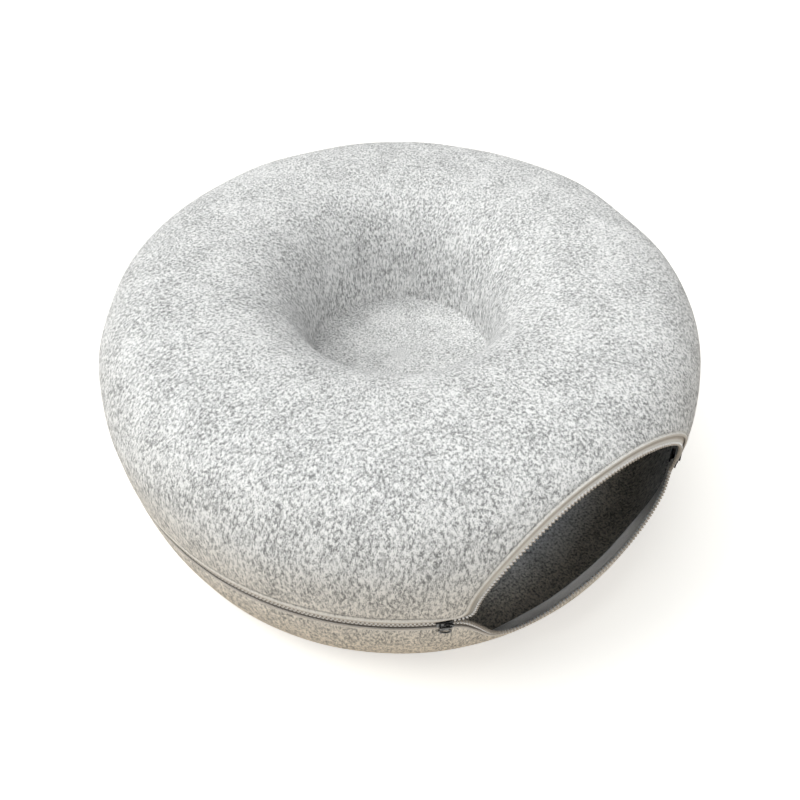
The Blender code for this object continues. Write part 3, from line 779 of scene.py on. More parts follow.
@dataclass(frozen=True)
class ThreadFinish:
    """Sewing thread, twisted, paler than the felt."""

    colour: Colour = (0.90, 0.87, 0.81)

    def material(self) -> bpy.types.Material:
        """Builds the material on the stitches' place in the piece."""
        g = Graph("sewing_thread")
        twist = g.noise(g.place(), 2400.0, 1.0)
        colour = g.ramp(twist, [(0.3, scaled(self.colour, 0.80)),
                                (0.65, scaled(self.colour, 1.05))])
        g.bump(twist, 0.4, 0.0002)
        g.set(Base_Color=colour, Roughness=0.7, Sheen_Weight=0.2, Sheen_Roughness=0.4)
        return g.material


@dataclass(frozen=True)
class CastFinish:
    """Black lacquered die casting, finely pebbled, with the lacquer thin in specks.

    Attributes:
        lacquer, bare: The lacquer's grey, and that of the specks.
    """

    lacquer: float = 0.018
    bare: float = 0.17

    def material(self) -> bpy.types.Material:
        """Builds the material on the casting's place."""
        g = Graph("black_casting")
        pebble = g.noise(g.place(), 1900.0, 2.0, 0.6)
        specks = g.noise(g.place(), 620.0, 3.0, 0.65)
        thin = g.span(specks, 0.66, 0.74, 0.0, 0.6)
        colour = g.mix(thin, grey(self.lacquer), grey(self.bare, 0.02))
        g.bump(pebble, 0.12, 0.00012)
        g.set(Base_Color=colour, Roughness=g.span(pebble, 0.3, 0.7, 0.26, 0.40), Metallic=0.35,
              Specular_IOR_Level=0.6, Coat_Weight=0.35, Coat_Roughness=0.2)
        return g.material


@dataclass(frozen=True)
class Finishes:
    """One material of each kind for the whole tunnel."""

    felt: bpy.types.Material
    tape: bpy.types.Material
    teeth: bpy.types.Material
    thread: bpy.types.Material
    metal: bpy.types.Material

    @classmethod
    def made(cls) -> "Finishes":
        """Builds the five materials."""
        return cls(FeltFinish().material(), TapeFinish().material(), MouldedFinish().material(),
                   ThreadFinish().material(), CastFinish().material())


# The body's shape


@dataclass(frozen=True)
class BodyShape:
    """The tunnel's profile and the two edges of its mouth, with the frame's own sizes.

    Attributes:
        widest: Height of the widest ring.
        felt_back: Depth of the felt's inner face under its outer one.
        seam_felt: The same where the seam presses the felt thin, over seam_width from its edge.
        seam_ramp: Length over which the felt is thick again.
        crown: Radius of the crown's ring.
        disc_felt, disc_gap: Thickness of the lower disc, and its gap under the hub zip's middle.
        hub_wall, hub_height: Height of the hub's straight wall, and height of its zip.
        tape_radius: Radius of the middle of the zip's tape at the waist, as the frame has it.
        upper_felt_edge, lower_felt_edge: How far each felt's edge lies in from the teeth's crests.
        tooth_overlap: How far the crests reach over the zip's middle where the rows are meshed.
        parted_half: How far they stand back from it where the rows are parted.
        lip_lean: Angle by which the lower tape leans into the tunnel along the mouth, so that
            below zero it leans out.
        lip_straight, lip_fade: How far before the sliders the lean has gone, and over what length.
        droop: Angle by which the lower tape's free selvedge hangs into the tunnel.
        droop_from: Where the hanging starts, from the felt's edge.
        droop_reach, droop_fade: Length round the wall where it ends, and over which it fades.
        hem_mouth: Width of the hem along the mouth, as a share of its plain width.
        hem_waist: The same behind, for the upper felt.
        fillet: Length over which an edge's corners are rounded.
        sample: Step between an edge's points.
        front_share: How far the mouth's edge is followed, as a share of the sliders' place.
        scoop_shares: The lower edge's dip, as places in the mouth's half width and depths.
    """

    radius: float = 0.250
    height: float = 0.200
    widest: float = 0.116
    felt_back: float = 0.0042
    seam_felt: float = 0.0015
    seam_width: float = 0.0086
    seam_ramp: float = 0.0050
    crown: float = 0.168
    disc_radius: float = 0.080
    disc_height: float = 0.100
    disc_fillet: float = 0.0020
    disc_felt: float = 0.004
    disc_gap: float = 0.00015
    hub_wall: float = 0.014
    hub_height: float = 0.09585
    base_outer: float = 0.222
    base_inner: float = 0.150
    shoulder_exponent: float = 2.6
    belly_exponent: float = 2.1
    funnel_exponent: float = 2.7
    zip_height: float = 0.088
    tape_radius: float = 0.2469373
    upper_felt_edge: float = 0.00575
    lower_felt_edge: float = 0.00515
    tooth_overlap: float = 0.00035
    parted_half: float = 0.001
    mouth_half_width: float = 0.104
    mouth_top: float = 0.177
    mouth_low: float = 0.0355
    mouth_exponent: float = 2.15
    lip_lean: float = math.radians(-25)
    lip_straight: float = 0.010
    lip_fade: float = 0.030
    droop: float = math.radians(54)
    droop_from: float = 0.0015
    droop_reach: float = 0.118
    droop_fade: float = 0.080
    hem_mouth: float = 0.75
    hem_waist: float = 2.0
    fillet: float = 0.020
    sample: float = 0.0005
    slider_place: float = 0.1250
    slider_length: float = 0.011
    front_share: float = 1.15
    scoop_shares: tuple[Span, ...] = (
        (-1.12, 0.0), (-1.0, 0.12), (-0.9, 0.46), (-0.8, 0.80), (-0.68, 0.98), (-0.56, 1.0),
        (-0.42, 0.90), (-0.28, 0.70), (-0.1, 0.50), (0.1, 0.38), (0.35, 0.27), (0.6, 0.14),
        (0.85, 0.04), (1.05, 0.0),
    )
    steps: int = 240

    @cached_property
    def wall(self) -> np.ndarray:
        """The outer wall's profile, radius and height, from the crown down to the base."""
        shoulder = superellipse(
            (self.crown, self.widest), (self.radius - self.crown, self.height - self.widest),
            self.shoulder_exponent, self.steps)
        belly = superellipse(
            (self.base_outer, self.widest), (self.radius - self.base_outer, -self.widest),
            self.belly_exponent, self.steps)
        return np.vstack([shoulder[::-1], belly[1:]])

    @cached_property
    def wall_normals(self) -> np.ndarray:
        """Unit vectors from the wall's profile into the felt."""
        normals = right_normals(self.wall)
        normals[0], normals[-1] = (0.0, -1.0), (0.0, 1.0)
        return normals

    @cached_property
    def wall_lengths(self) -> np.ndarray:
        """Length along the wall's profile up to each point."""
        return lengths_along(self.wall)

    @cached_property
    def top(self) -> float:
        """Height on the wall of the crown."""
        return float(np.interp(-self.zip_height, -self.wall[:, 1], self.wall_lengths))

    @cached_property
    def bottom(self) -> float:
        """Height on the wall of the base."""
        return self.top - float(self.wall_lengths[-1])

    @cached_property
    def tape_depth(self) -> float:
        """Depth of the tape's middle under the felt's face at the zip."""
        radius = np.interp(-self.zip_height, -self.wall[:, 1], self.wall[:, 0])
        return float(radius) - self.tape_radius

    @property
    def window(self) -> int:
        """How many samples on each side round an edge's corners."""
        return round(self.fillet / self.sample / 2)

    def on_wall(self, across: np.ndarray, up: np.ndarray, depth: np.ndarray) -> np.ndarray:
        """Points in space: the profile's point at a height, moved inwards, turned by an azimuth.

        Args:
            across: Lengths round the wall at the tape's radius.
            up: Heights along the wall from the zip.
            depth: Depths under the felt's face.

        Returns:
            Array of the inputs' shape with 3 coordinates.
        """
        across, up, depth = np.broadcast_arrays(across, up, depth)
        at = self.top - up
        place = read_line(self.wall, self.wall_lengths, at)
        normal = read_line(self.wall_normals, self.wall_lengths, at)
        place = place + depth[..., None] * normal
        return around(across / self.tape_radius, place[..., 0], place[..., 1])

    def height_on_wall(self, level: float) -> float:
        """Height along the wall of a level above the floor."""
        return self.top - float(np.interp(-level, -self.wall[:, 1], self.wall_lengths))

    def parting(self, across: np.ndarray) -> np.ndarray:
        """Height of the crests: meshed past the sliders' narrow ends, parted past their wedges."""
        share = (self.slider_place + self.slider_length / 2 - np.abs(across)) / self.slider_length
        return (self.parted_half + self.tooth_overlap) * eased(share) - self.tooth_overlap

    def arch_edge(self, reach: float, offset: float) -> np.ndarray:
        """The upper half's edge: a superellipse arch between two flats, rounded at its feet.

        Args:
            reach: Length of the edge on each side of the mouth's middle.
            offset: How far the line lies in from the teeth's crests.

        Returns:
            Lengths round the wall and heights on it, from left to right.
        """
        rise = self.height_on_wall(self.mouth_top) - self.parted_half
        count = round(math.pi * (self.mouth_half_width + rise) / 2 / self.sample)
        turn = np.linspace(math.pi, 0, count)
        share = 2 / self.mouth_exponent
        half = self.mouth_half_width + offset
        arch_across = half * np.sign(np.cos(turn)) * np.abs(np.cos(turn)) ** share
        arch_up = rise * np.sin(turn).clip(0) ** share
        flat = np.linspace(reach, half, round((reach - self.mouth_half_width) / self.sample),
                           endpoint=False)
        across = smoothed(np.concatenate([-flat, arch_across, flat[::-1]]), self.window)
        up = smoothed(np.concatenate([0 * flat, arch_up, 0 * flat]), self.window)
        across[0], across[-1] = -reach, reach
        return np.stack([across, up + self.parting(across) + offset], axis=1)

    def scoop_edge(self, reach: float, offset: float) -> np.ndarray:
        """The lower half's edge: a dip read from shares of the mouth's width and depth.

        Args:
            reach: Length of the edge on each side of the mouth's middle.
            offset: How far the line lies in from the teeth's crests.

        Returns:
            Lengths round the wall and heights on it, from left to right.
        """
        fall = -self.height_on_wall(self.mouth_low) - self.parted_half
        across = np.linspace(-reach, reach, round(2 * reach / self.sample))
        places, depths = np.array(self.scoop_shares).T
        down = fall * np.interp(across, self.mouth_half_width * places, depths)
        down = smoothed(down, self.window)
        slope = smoothed(np.gradient(down, across), self.window)
        down = down + self.parting(across) + offset * np.sqrt(1 + slope * slope)
        return np.stack([across, -down], axis=1)

    def mouth_share(self, across: np.ndarray, further: float = 0.0) -> np.ndarray:
        """1 along the mouth and 0 behind; the change lies further out by the second length."""
        straight = self.slider_place - self.lip_straight
        return eased((straight + further - np.abs(across)) / self.lip_fade)

    def edge(self, half: Half, reach: float, offset: float) -> np.ndarray:
        """The mouth's edge of one half."""
        return (self.arch_edge if half is Half.UPPER else self.scoop_edge)(reach, offset)

    def strip(self, half: Half, reach: float, offset: float) -> np.ndarray:
        """The mouth's edge as the tape has it, the lower one with its lean and its free selvedge.

        Args:
            half: Which half.
            reach: Length of the edge on each side of the mouth's middle.
            offset: How far the line lies in from the teeth's crests.

        Returns:
            Lengths round the wall, heights on it, further depths and angles of lean.
        """
        edge = self.edge(half, reach, offset)
        if half is Half.UPPER:
            return np.column_stack([edge, np.zeros((len(edge), 2))])
        out = max(self.lower_felt_edge - offset, 0.0)
        free = max(offset - self.lower_felt_edge - self.droop_from, 0.0)
        lean = self.lip_lean * self.mouth_share(edge[:, 0])
        hang = self.droop * eased((self.droop_reach - np.abs(edge[:, 0])) / self.droop_fade)
        moved = out * (1 - np.cos(lean)) - free * (1 - np.cos(hang))
        edge = self.scoop_edge(reach, offset + moved)
        deeper = out * np.sin(lean) + free * np.sin(hang)
        return np.column_stack([edge, deeper, lean if free == 0 else -hang])

    def thickness(self, distance: np.ndarray) -> np.ndarray:
        """The felt's thickness at a distance from its edge."""
        share = eased((distance - self.seam_width) / self.seam_ramp)
        return self.seam_felt + (self.felt_back - self.seam_felt) * share

    def felt_edge(self, half: Half) -> float:
        """How far the felt's edge lies in from the teeth's crests."""
        return self.upper_felt_edge if half is Half.UPPER else self.lower_felt_edge

    def hem(self, half: Half, across: np.ndarray) -> np.ndarray:
        """How wide a half's hem is drawn at places round it, as a share of its plain width.

        Args:
            half: Which half.
            across: Lengths round the wall from the mouth's middle.

        Returns:
            A share for each place.
        """
        mouth = self.mouth_share(across, self.lip_fade)
        waist = self.hem_waist if half is Half.UPPER else 1.0
        return self.hem_mouth * mouth + waist * (1 - mouth)

    def loop(self, half: Half, offset: float, bare: bool = False) -> np.ndarray:
        """A half's whole edge at an offset: along the mouth, then round the back at one height.

        Args:
            half: Which half.
            offset: How far the line lies in from the teeth's crests.
            bare: Whether the line is the felt's, which neither leans nor hangs.

        Returns:
            The columns of strip(), with the first point once more at the end.
        """
        reach = self.front_share * self.slider_place
        if bare:
            edge = self.edge(half, reach, offset)
            front = np.column_stack([edge, np.zeros((len(edge), 2))])
        else:
            front = self.strip(half, reach, offset)
        round_it = math.tau * self.tape_radius
        back = np.zeros((round((round_it - 2 * reach) / self.sample / 4), 4))
        back[:, 0] = np.linspace(reach, round_it - reach, len(back) + 2)[1:-1]
        back[:, 1] = half.value * (offset - self.tooth_overlap)
        return np.vstack([front, back, front[:1] + (round_it, 0.0, 0.0, 0.0)])

    def funnel(self, half: Half) -> np.ndarray:
        """The profile from the crown or the base to the disc's middle, its corner rounded.

        Args:
            half: Which half.

        Returns:
            Radii and heights from the crown or the base ring to the axis.
        """
        if half is Half.UPPER:
            start, disc, ring = self.crown, self.disc_height, self.height
            knee = self.hub_height + self.hub_wall
        else:
            start, ring = self.base_inner, 0.0
            disc = self.hub_height - self.disc_gap - self.disc_felt
            knee = self.hub_height - self.hub_wall
        curve = superellipse((start, knee), (self.disc_radius - start, ring - knee),
                             self.funnel_exponent, self.steps)[::-1]
        fillet, side = self.disc_fillet, 1 if half is Half.UPPER else -1
        turn = np.linspace(0, math.pi / 2, 9)
        corner = np.stack([self.disc_radius - fillet + fillet * np.cos(turn),
                           disc + side * (fillet - fillet * np.sin(turn))], axis=1)
        radii = np.linspace(self.disc_radius - fillet, 0, 60)[1:]
        flat = np.stack([radii, np.full(len(radii), disc)], axis=1)
        return np.vstack([curve, corner, flat])


# Felt


@dataclass
class FeltShell:
    """One moulded felt shell: wall, crown or base, funnel or recess, and disc, all in one.

    Attributes:
        columns: Lines from the edge to the disc's middle.
        wall_rows, funnel_rows, disc_rows: Rings on the wall, the funnel and the disc.
        seed: Where the draw of the felt's slow waves starts.
        wave: Height of the slow waves that moulding leaves.
        wave_count, wave_lengths: How many waves are summed, and how long they are.
        calm_edge: Distance from the edge up to which there are none, and that of their rise.
        calm_floor, calm_hub: The same over the floor and round the hub.
        calm_crown: How far over the crown they would end, and the length of their fall.
        wave_lift: The upward part of the way they move the felt, to an outward part of 1.
        groove, groove_place, groove_width: Depth of the sewn groove, and where it lies.
        softening, softening_reach: How far both faces fall off at the edge, and over what length.
        rim_reach: How far the rim stands out, as a share of half the thickness.
        flow_along, flow_inside: Steps of the flow along the profile, and its shift inside.
        flow_radius, flow_held: Shares of the true radius and of a held one in the flow.
        held_radii: The true radii and the held ones that belong to them.
        edge_offsets: Distances from the edge of the rings that follow it.
    """

    shape: BodyShape
    half: Half
    finishes: Finishes
    columns: int = 640
    wall_rows: int = 34
    funnel_rows: int = 30
    disc_rows: int = 9
    seed: int = 5
    wave: float = 0.0007
    wave_count: int = 8
    wave_lengths: Span = (0.07, 0.16)
    calm_edge: Span = (0.022, 0.04)
    calm_floor: float = 0.03
    calm_hub: Span = (0.06, 0.05)
    calm_crown: Span = (0.004, 0.02)
    wave_lift: float = 0.9
    groove: float = 0.0009
    groove_place: float = 0.0031
    groove_width: float = 0.0007
    softening: float = 0.0002
    softening_reach: float = 0.0005
    rim_reach: float = 0.8
    flow_along: float = 0.32
    flow_inside: float = 0.35
    flow_radius: float = 0.55
    flow_held: float = 0.45
    held_radii: tuple[tuple[float, ...], ...] = ((0.0, 0.10, 0.25), (0.03, 0.12, 0.20))
    edge_offsets: tuple[float, ...] = (
        0.0, 0.0005, 0.0010, 0.0016, 0.0022, 0.0028, 0.0036, 0.0048, 0.0066, 0.0084, 0.0102,
        0.0120, 0.0138,
    )

    def wall_grid(self) -> tuple[np.ndarray, np.ndarray, np.ndarray]:
        """The wall's points as lengths round it and heights on it, from the edge inwards.

        Near the edge the rows are the edge's own offsets; beyond them each column runs straight
        to its place on the crown's or the base's ring, where the columns stand evenly.

        Returns:
            Rows by columns by 2, each row's distance from the edge, each column's azimuth.
        """
        felt_edge = self.shape.felt_edge(self.half)
        picks = even_picks(self.shape.loop(self.half, felt_edge), self.columns)
        near = np.stack([
            pick(self.shape.loop(self.half, felt_edge + offset, bare=True)[:, :2], picks)
            for offset in self.edge_offsets
        ])
        middle = np.interp(0.0, near[0, :self.columns // 2, 0], np.arange(self.columns // 2))
        turn = (np.arange(self.columns) - middle) / self.columns * math.tau
        ring_up = self.shape.top if self.half is Half.UPPER else self.shape.bottom
        ring = np.stack([turn * self.shape.tape_radius, np.full(self.columns, ring_up)], axis=1)
        share = np.linspace(0, 1, self.wall_rows + 1)[1:, None, None]
        far = (1 - share) * near[-1] + share * ring
        reach = np.abs(ring_up - near[-1, :, 1]).mean()
        distances = np.concatenate([self.edge_offsets,
                                    self.edge_offsets[-1] + share.ravel() * reach])
        return np.concatenate([near, far]), distances, turn

    def waves(self, points: np.ndarray) -> np.ndarray:
        """Slow unevenness: the sum of sin(w . p + d) / sqrt(n) over n drawn waves w.

        Args:
            points: Points in space, (..., 3).

        Returns:
            A value for each point.
        """
        draw = np.random.default_rng(self.seed)
        total = np.zeros(points.shape[:-1])
        for _ in range(self.wave_count):
            way = draw.normal(size=3)
            way *= math.tau / draw.uniform(*self.wave_lengths) / np.linalg.norm(way)
            phase = draw.uniform(0, math.tau)
            total += np.sin(points @ way + phase) / self.wave_count ** 0.5
        return total

    def profile(self) -> tuple[np.ndarray, np.ndarray]:
        """The profile from the wall's last ring to the disc's middle.

        Returns:
            Its radii and heights, and unit vectors from them into the felt.
        """
        line = self.shape.funnel(self.half)
        if self.half is Half.LOWER:
            flat = np.linspace(self.shape.base_outer, self.shape.base_inner, 40)[1:-1]
            line = np.vstack([np.stack([flat, 0 * flat], axis=1), line])
        normals = -self.half.value * right_normals(line)
        normals[-1] = (0.0, -self.half.value)
        return line, normals

    def funnel_stations(self, line: np.ndarray, lengths: np.ndarray) -> np.ndarray:
        """Lengths along the profile where rings stand, closest at the disc's corner.

        Args:
            line: The profile's radii and heights.
            lengths: Length along it up to each point.

        Returns:
            The lengths, without the profile's two ends.
        """
        fillet = self.shape.disc_fillet
        aside = np.abs(line[:, 0] - (self.shape.disc_radius - fillet))
        corner = lengths[np.argmin(aside + 10 * (line[:, 1] - line[-1, 1]) ** 2)]
        before = corner - fillet * 2.2
        return np.concatenate([
            np.linspace(0, before, self.funnel_rows + 1)[1:],
            np.linspace(before, corner, 7)[1:],
            np.linspace(corner, lengths[-1], self.disc_rows + 2)[1:-1],
        ])

    def rim(self, grid: np.ndarray, thickness: float) -> tuple[np.ndarray, np.ndarray]:
        """The rounded edge between the two faces: half an ellipse, t / 2 (s sin a, 1 - cos a).

        Args:
            grid: The wall's points, from the edge inwards.
            thickness: The felt's thickness t at its edge.

        Returns:
            Rows by columns by 2, and each row's depth.
        """
        turn = np.linspace(0, math.pi, 7)[1:-1]
        out = 0.5 * thickness * np.sin(turn)[:, None, None] * self.rim_reach
        rows = grid[0][None] - (grid[1] - grid[0])[None] / self.edge_offsets[1] * out
        return rows, thickness / 2 * (1 - np.cos(turn))

    def rings(self, rows: np.ndarray, depths: np.ndarray) -> list[np.ndarray]:
        """The wall's rows as rings in space, each at its depth under the felt's face."""
        return [self.shape.on_wall(row[:, 0], row[:, 1], depth)
                for row, depth in zip(rows, depths)]

    def build(self) -> bpy.types.Object:
        """Makes the shell, ring by ring from the outer pole over its edge to the inner one.

        Returns:
            The shell, with the values that its felt's pattern needs on its points.
        """
        shape = self.shape
        grid, distances, turn = self.wall_grid()
        line, normals = self.profile()
        lengths = lengths_along(line)
        stations = self.funnel_stations(line, lengths)
        places = read_line(line, lengths, stations)
        inward = read_line(normals, lengths, stations)
        inward /= np.linalg.norm(inward, axis=1)[:, None]

        hem = shape.hem(self.half, grid[0, :, 0])
        off_groove = (distances[:, None] / hem - self.groove_place) / self.groove_width
        sunk = self.groove * np.exp(-off_groove ** 2)
        softened = self.softening * np.exp(-(distances / self.softening_reach) ** 2)
        thickness = shape.thickness(distances)
        near = len(self.edge_offsets)
        inner_rows = np.unique(np.r_[0:near:2, near + 1:len(grid):2, len(grid) - 1])
        outer = self.rings(grid, sunk + softened[:, None])
        edge_rows = self.rings(*self.rim(grid, thickness[0]))
        inner = self.rings(grid[inner_rows], (thickness - softened)[inner_rows])

        inner_funnel = np.unique(np.r_[1:self.funnel_rows:2, self.funnel_rows:len(places)])
        funnel_out = turned(places, turn)
        funnel_in = turned((places + shape.felt_back * inward)[inner_funnel], turn)
        rows = np.stack(funnel_out[::-1] + outer[::-1] + edge_rows + inner + funnel_in)
        poles = np.zeros((2, 3))
        poles[:, 2] = line[-1, 1], line[-1, 1] - self.half.value * shape.felt_back

        inside = np.concatenate([
            np.zeros(len(funnel_out) + len(outer)),
            np.linspace(0, 1, len(edge_rows) + 2)[1:-1],
            np.ones(len(inner) + len(funnel_in)),
        ])
        far = distances[-1] + stations
        edge = np.concatenate([far[::-1], distances[::-1], np.zeros(len(edge_rows)),
                               distances[inner_rows], far[inner_funnel]])
        rows = self.with_waves(rows, edge)
        solid = lofted(rows, closed=False, ends=poles)
        shell = solid.to_object(f"{self.half.word}_felt", self.finishes.felt)
        self.mark(shell, rows, edge[:, None] / hem, inside)
        return ride(shell, self.half.body, [f"{self.half.word}_shell"])

    def with_waves(self, rows: np.ndarray, edge: np.ndarray) -> np.ndarray:
        """Moves the rings a little in and out, but for the edge, the floor and the disc's hub.

        Args:
            rows: Rings by columns by 3.
            edge: Each ring's distance from the felt's edge.

        Returns:
            The moved rings.
        """
        radius = np.hypot(rows[..., 0], rows[..., 1])
        lift = np.full(radius.shape, self.wave_lift)
        out = np.stack([rows[..., 0] / radius, rows[..., 1] / radius, lift], axis=-1)
        out /= np.linalg.norm(out, axis=-1)[..., None]
        start, rise = self.calm_edge
        fade = eased((edge - start) / rise)[:, None] * eased(rows[..., 2] / self.calm_floor)
        over, fall = self.calm_crown
        fade = fade * eased((self.shape.height + over - rows[..., 2]) / fall)
        start, rise = self.calm_hub
        fade = fade * eased((radius - start) / rise)
        return rows + (self.wave * fade * self.waves(rows))[..., None] * out

    def mark(self, shell: bpy.types.Object, rows: np.ndarray, edge: np.ndarray,
             inside: np.ndarray) -> None:
        """Writes the values that the felt's pattern reads onto the shell's points.

        The flow is a point whose steps are short along the profile and full across it, so that a
        pattern drawn on it is stretched the way the felt was drawn into its mould.

        Args:
            shell: The shell.
            rows: Its rings.
            edge: Each point's distance from the felt's edge, divided by the hem's share.
            inside: How far each ring is on the tunnel's side, from 0 to 1.
        """
        radius = np.hypot(rows[..., 0], rows[..., 1])
        steps = np.linalg.norm(np.diff(rows, axis=0), axis=2)
        along = np.vstack([np.zeros(rows.shape[1]), np.cumsum(steps, axis=0)])
        held = np.interp(radius, *self.held_radii)
        hold = self.flow_radius * radius + self.flow_held * held
        azimuth = np.arctan2(rows[..., 0], -rows[..., 1])
        flow = around(azimuth, hold, self.flow_along * along + self.flow_inside * inside[:, None])
        flow = np.vstack([flow.reshape(-1, 3), np.zeros((2, 3))])
        layer = shell.data.attributes.new("flow", "FLOAT_VECTOR", "POINT")
        layer.data.foreach_set("vector", flow.astype(np.float32).ravel())
        write_values(shell, "edge", np.append(edge.ravel(), (1.0, 1.0)))
        # The inside value also tells the felt's finish where to paint the tunnel's inside darker,
        # as shade.
        write_values(shell, "inside", np.append(np.repeat(inside, rows.shape[1]), (0.0, 1.0)))


# Waist zip


@dataclass
class EdgeRun:
    """A line on the wall along which teeth or stitches stand.

    Attributes:
        line: Lengths round the wall, heights on it, further depths and angles of lean.
        side: 1 where the felt lies to the line's left, -1 where it lies to its right.
        depth: Depth of the line under the felt's face.
    """

    shape: BodyShape
    line: np.ndarray
    side: int
    depth: float

    @cached_property
    def lengths(self) -> np.ndarray:
        """Length along the line up to each point."""
        return lengths_along(self.line[:, :2])

    def place(self, along: np.ndarray, into: np.ndarray, out: np.ndarray) -> np.ndarray:
        """Points in space: the line's point, moved square to the line into the felt, then out.

        Where the line leans by an angle l, both moves are turned by it: a point at (into, out)
        lies into cos l - out sin l along the wall and into sin l + out cos l out of it.

        Args:
            along: Lengths along the line.
            into: Lengths into the felt.
            out: Lengths out of it.

        Returns:
            Points, (..., 3).
        """
        normals = -self.side * right_normals(self.line[:, :2])
        at = read_line(self.line, self.lengths, along)
        normal = read_line(normals, self.lengths, along)
        lean = at[..., 3]
        beside = into * np.cos(lean) - out * np.sin(lean)
        above = into * np.sin(lean) + out * np.cos(lean)
        spot = at[..., :2] + beside[..., None] * normal
        return self.shape.on_wall(spot[..., 0], spot[..., 1], self.depth + at[..., 2] - above)

    def stations(self, pitch: float, phase: float = 0.5) -> np.ndarray:
        """Middles of copies about a pitch apart that fill the line evenly."""
        count = round(self.lengths[-1] / pitch)
        return (np.arange(count) + phase) * self.lengths[-1] / count


@dataclass(frozen=True)
class Tooth:
    """A moulded zip tooth: a round head and a waist in front of a block that grips the tape.

    Attributes:
        bevel: How much of the thickness the rounding takes below; above it takes 1.4 times that.
        inset: How far the two faces are drawn in, as shares of width and length.
        head: How far in from the crest the head reaches.
        half_outline: Half widths and distances in from the crest's line, in millimetres.
    """

    thickness: float = 2.4 * MM
    bevel: float = 0.35 * MM
    inset: Span = (0.74, 0.84)
    head: float = 0.4 * MM
    half_outline: tuple[Span, ...] = (
        (0.34, -0.72), (0.70, -0.46), (0.68, -0.06), (0.44, 0.32), (0.92, 0.80), (0.92, 2.10),
    )

    def mesh(self) -> MeshData:
        """The outline at four levels, drawn in at the lowest and the highest."""
        half = np.array(self.half_outline) * MM
        outline = np.vstack([half, half[::-1] * (-1, 1)])
        centre = outline.mean(axis=0)
        inset = centre + (outline - centre) * self.inset
        level = self.thickness / 2
        return stacked([inset, outline, outline, inset],
                       [-level, self.bevel - level, level - 1.4 * self.bevel, level])


@dataclass(frozen=True)
class Stitch:
    """One sewn stitch: a short length of thread that dives into the felt at both ends.

    Attributes:
        dive: How far its ends lie under its middle.
        sunk: How far the ends lie under the felt, as a share of the dive.
        taper: How much thinner the ends are than the middle.
    """

    length: float = 2.3 * MM
    radius: float = 0.20 * MM
    dive: float = 0.50 * MM
    sunk: float = 0.6
    taper: float = 0.35

    def mesh(self) -> MeshData:
        """A six-sided tube whose height above the felt follows 1 - x^4."""
        at = np.linspace(-1, 1, 7)
        turn = np.arange(6) * math.tau / 6
        lift = self.dive * (1 - at ** 4) - self.sunk * self.dive
        width = self.radius * (1 - self.taper * at ** 4)
        sections = np.stack([
            np.column_stack([np.full(6, x * self.length / 2), w * np.cos(turn),
                             z + w * np.sin(turn)])
            for x, z, w in zip(at, lift, width)
        ])
        return lofted(sections, closed=False)


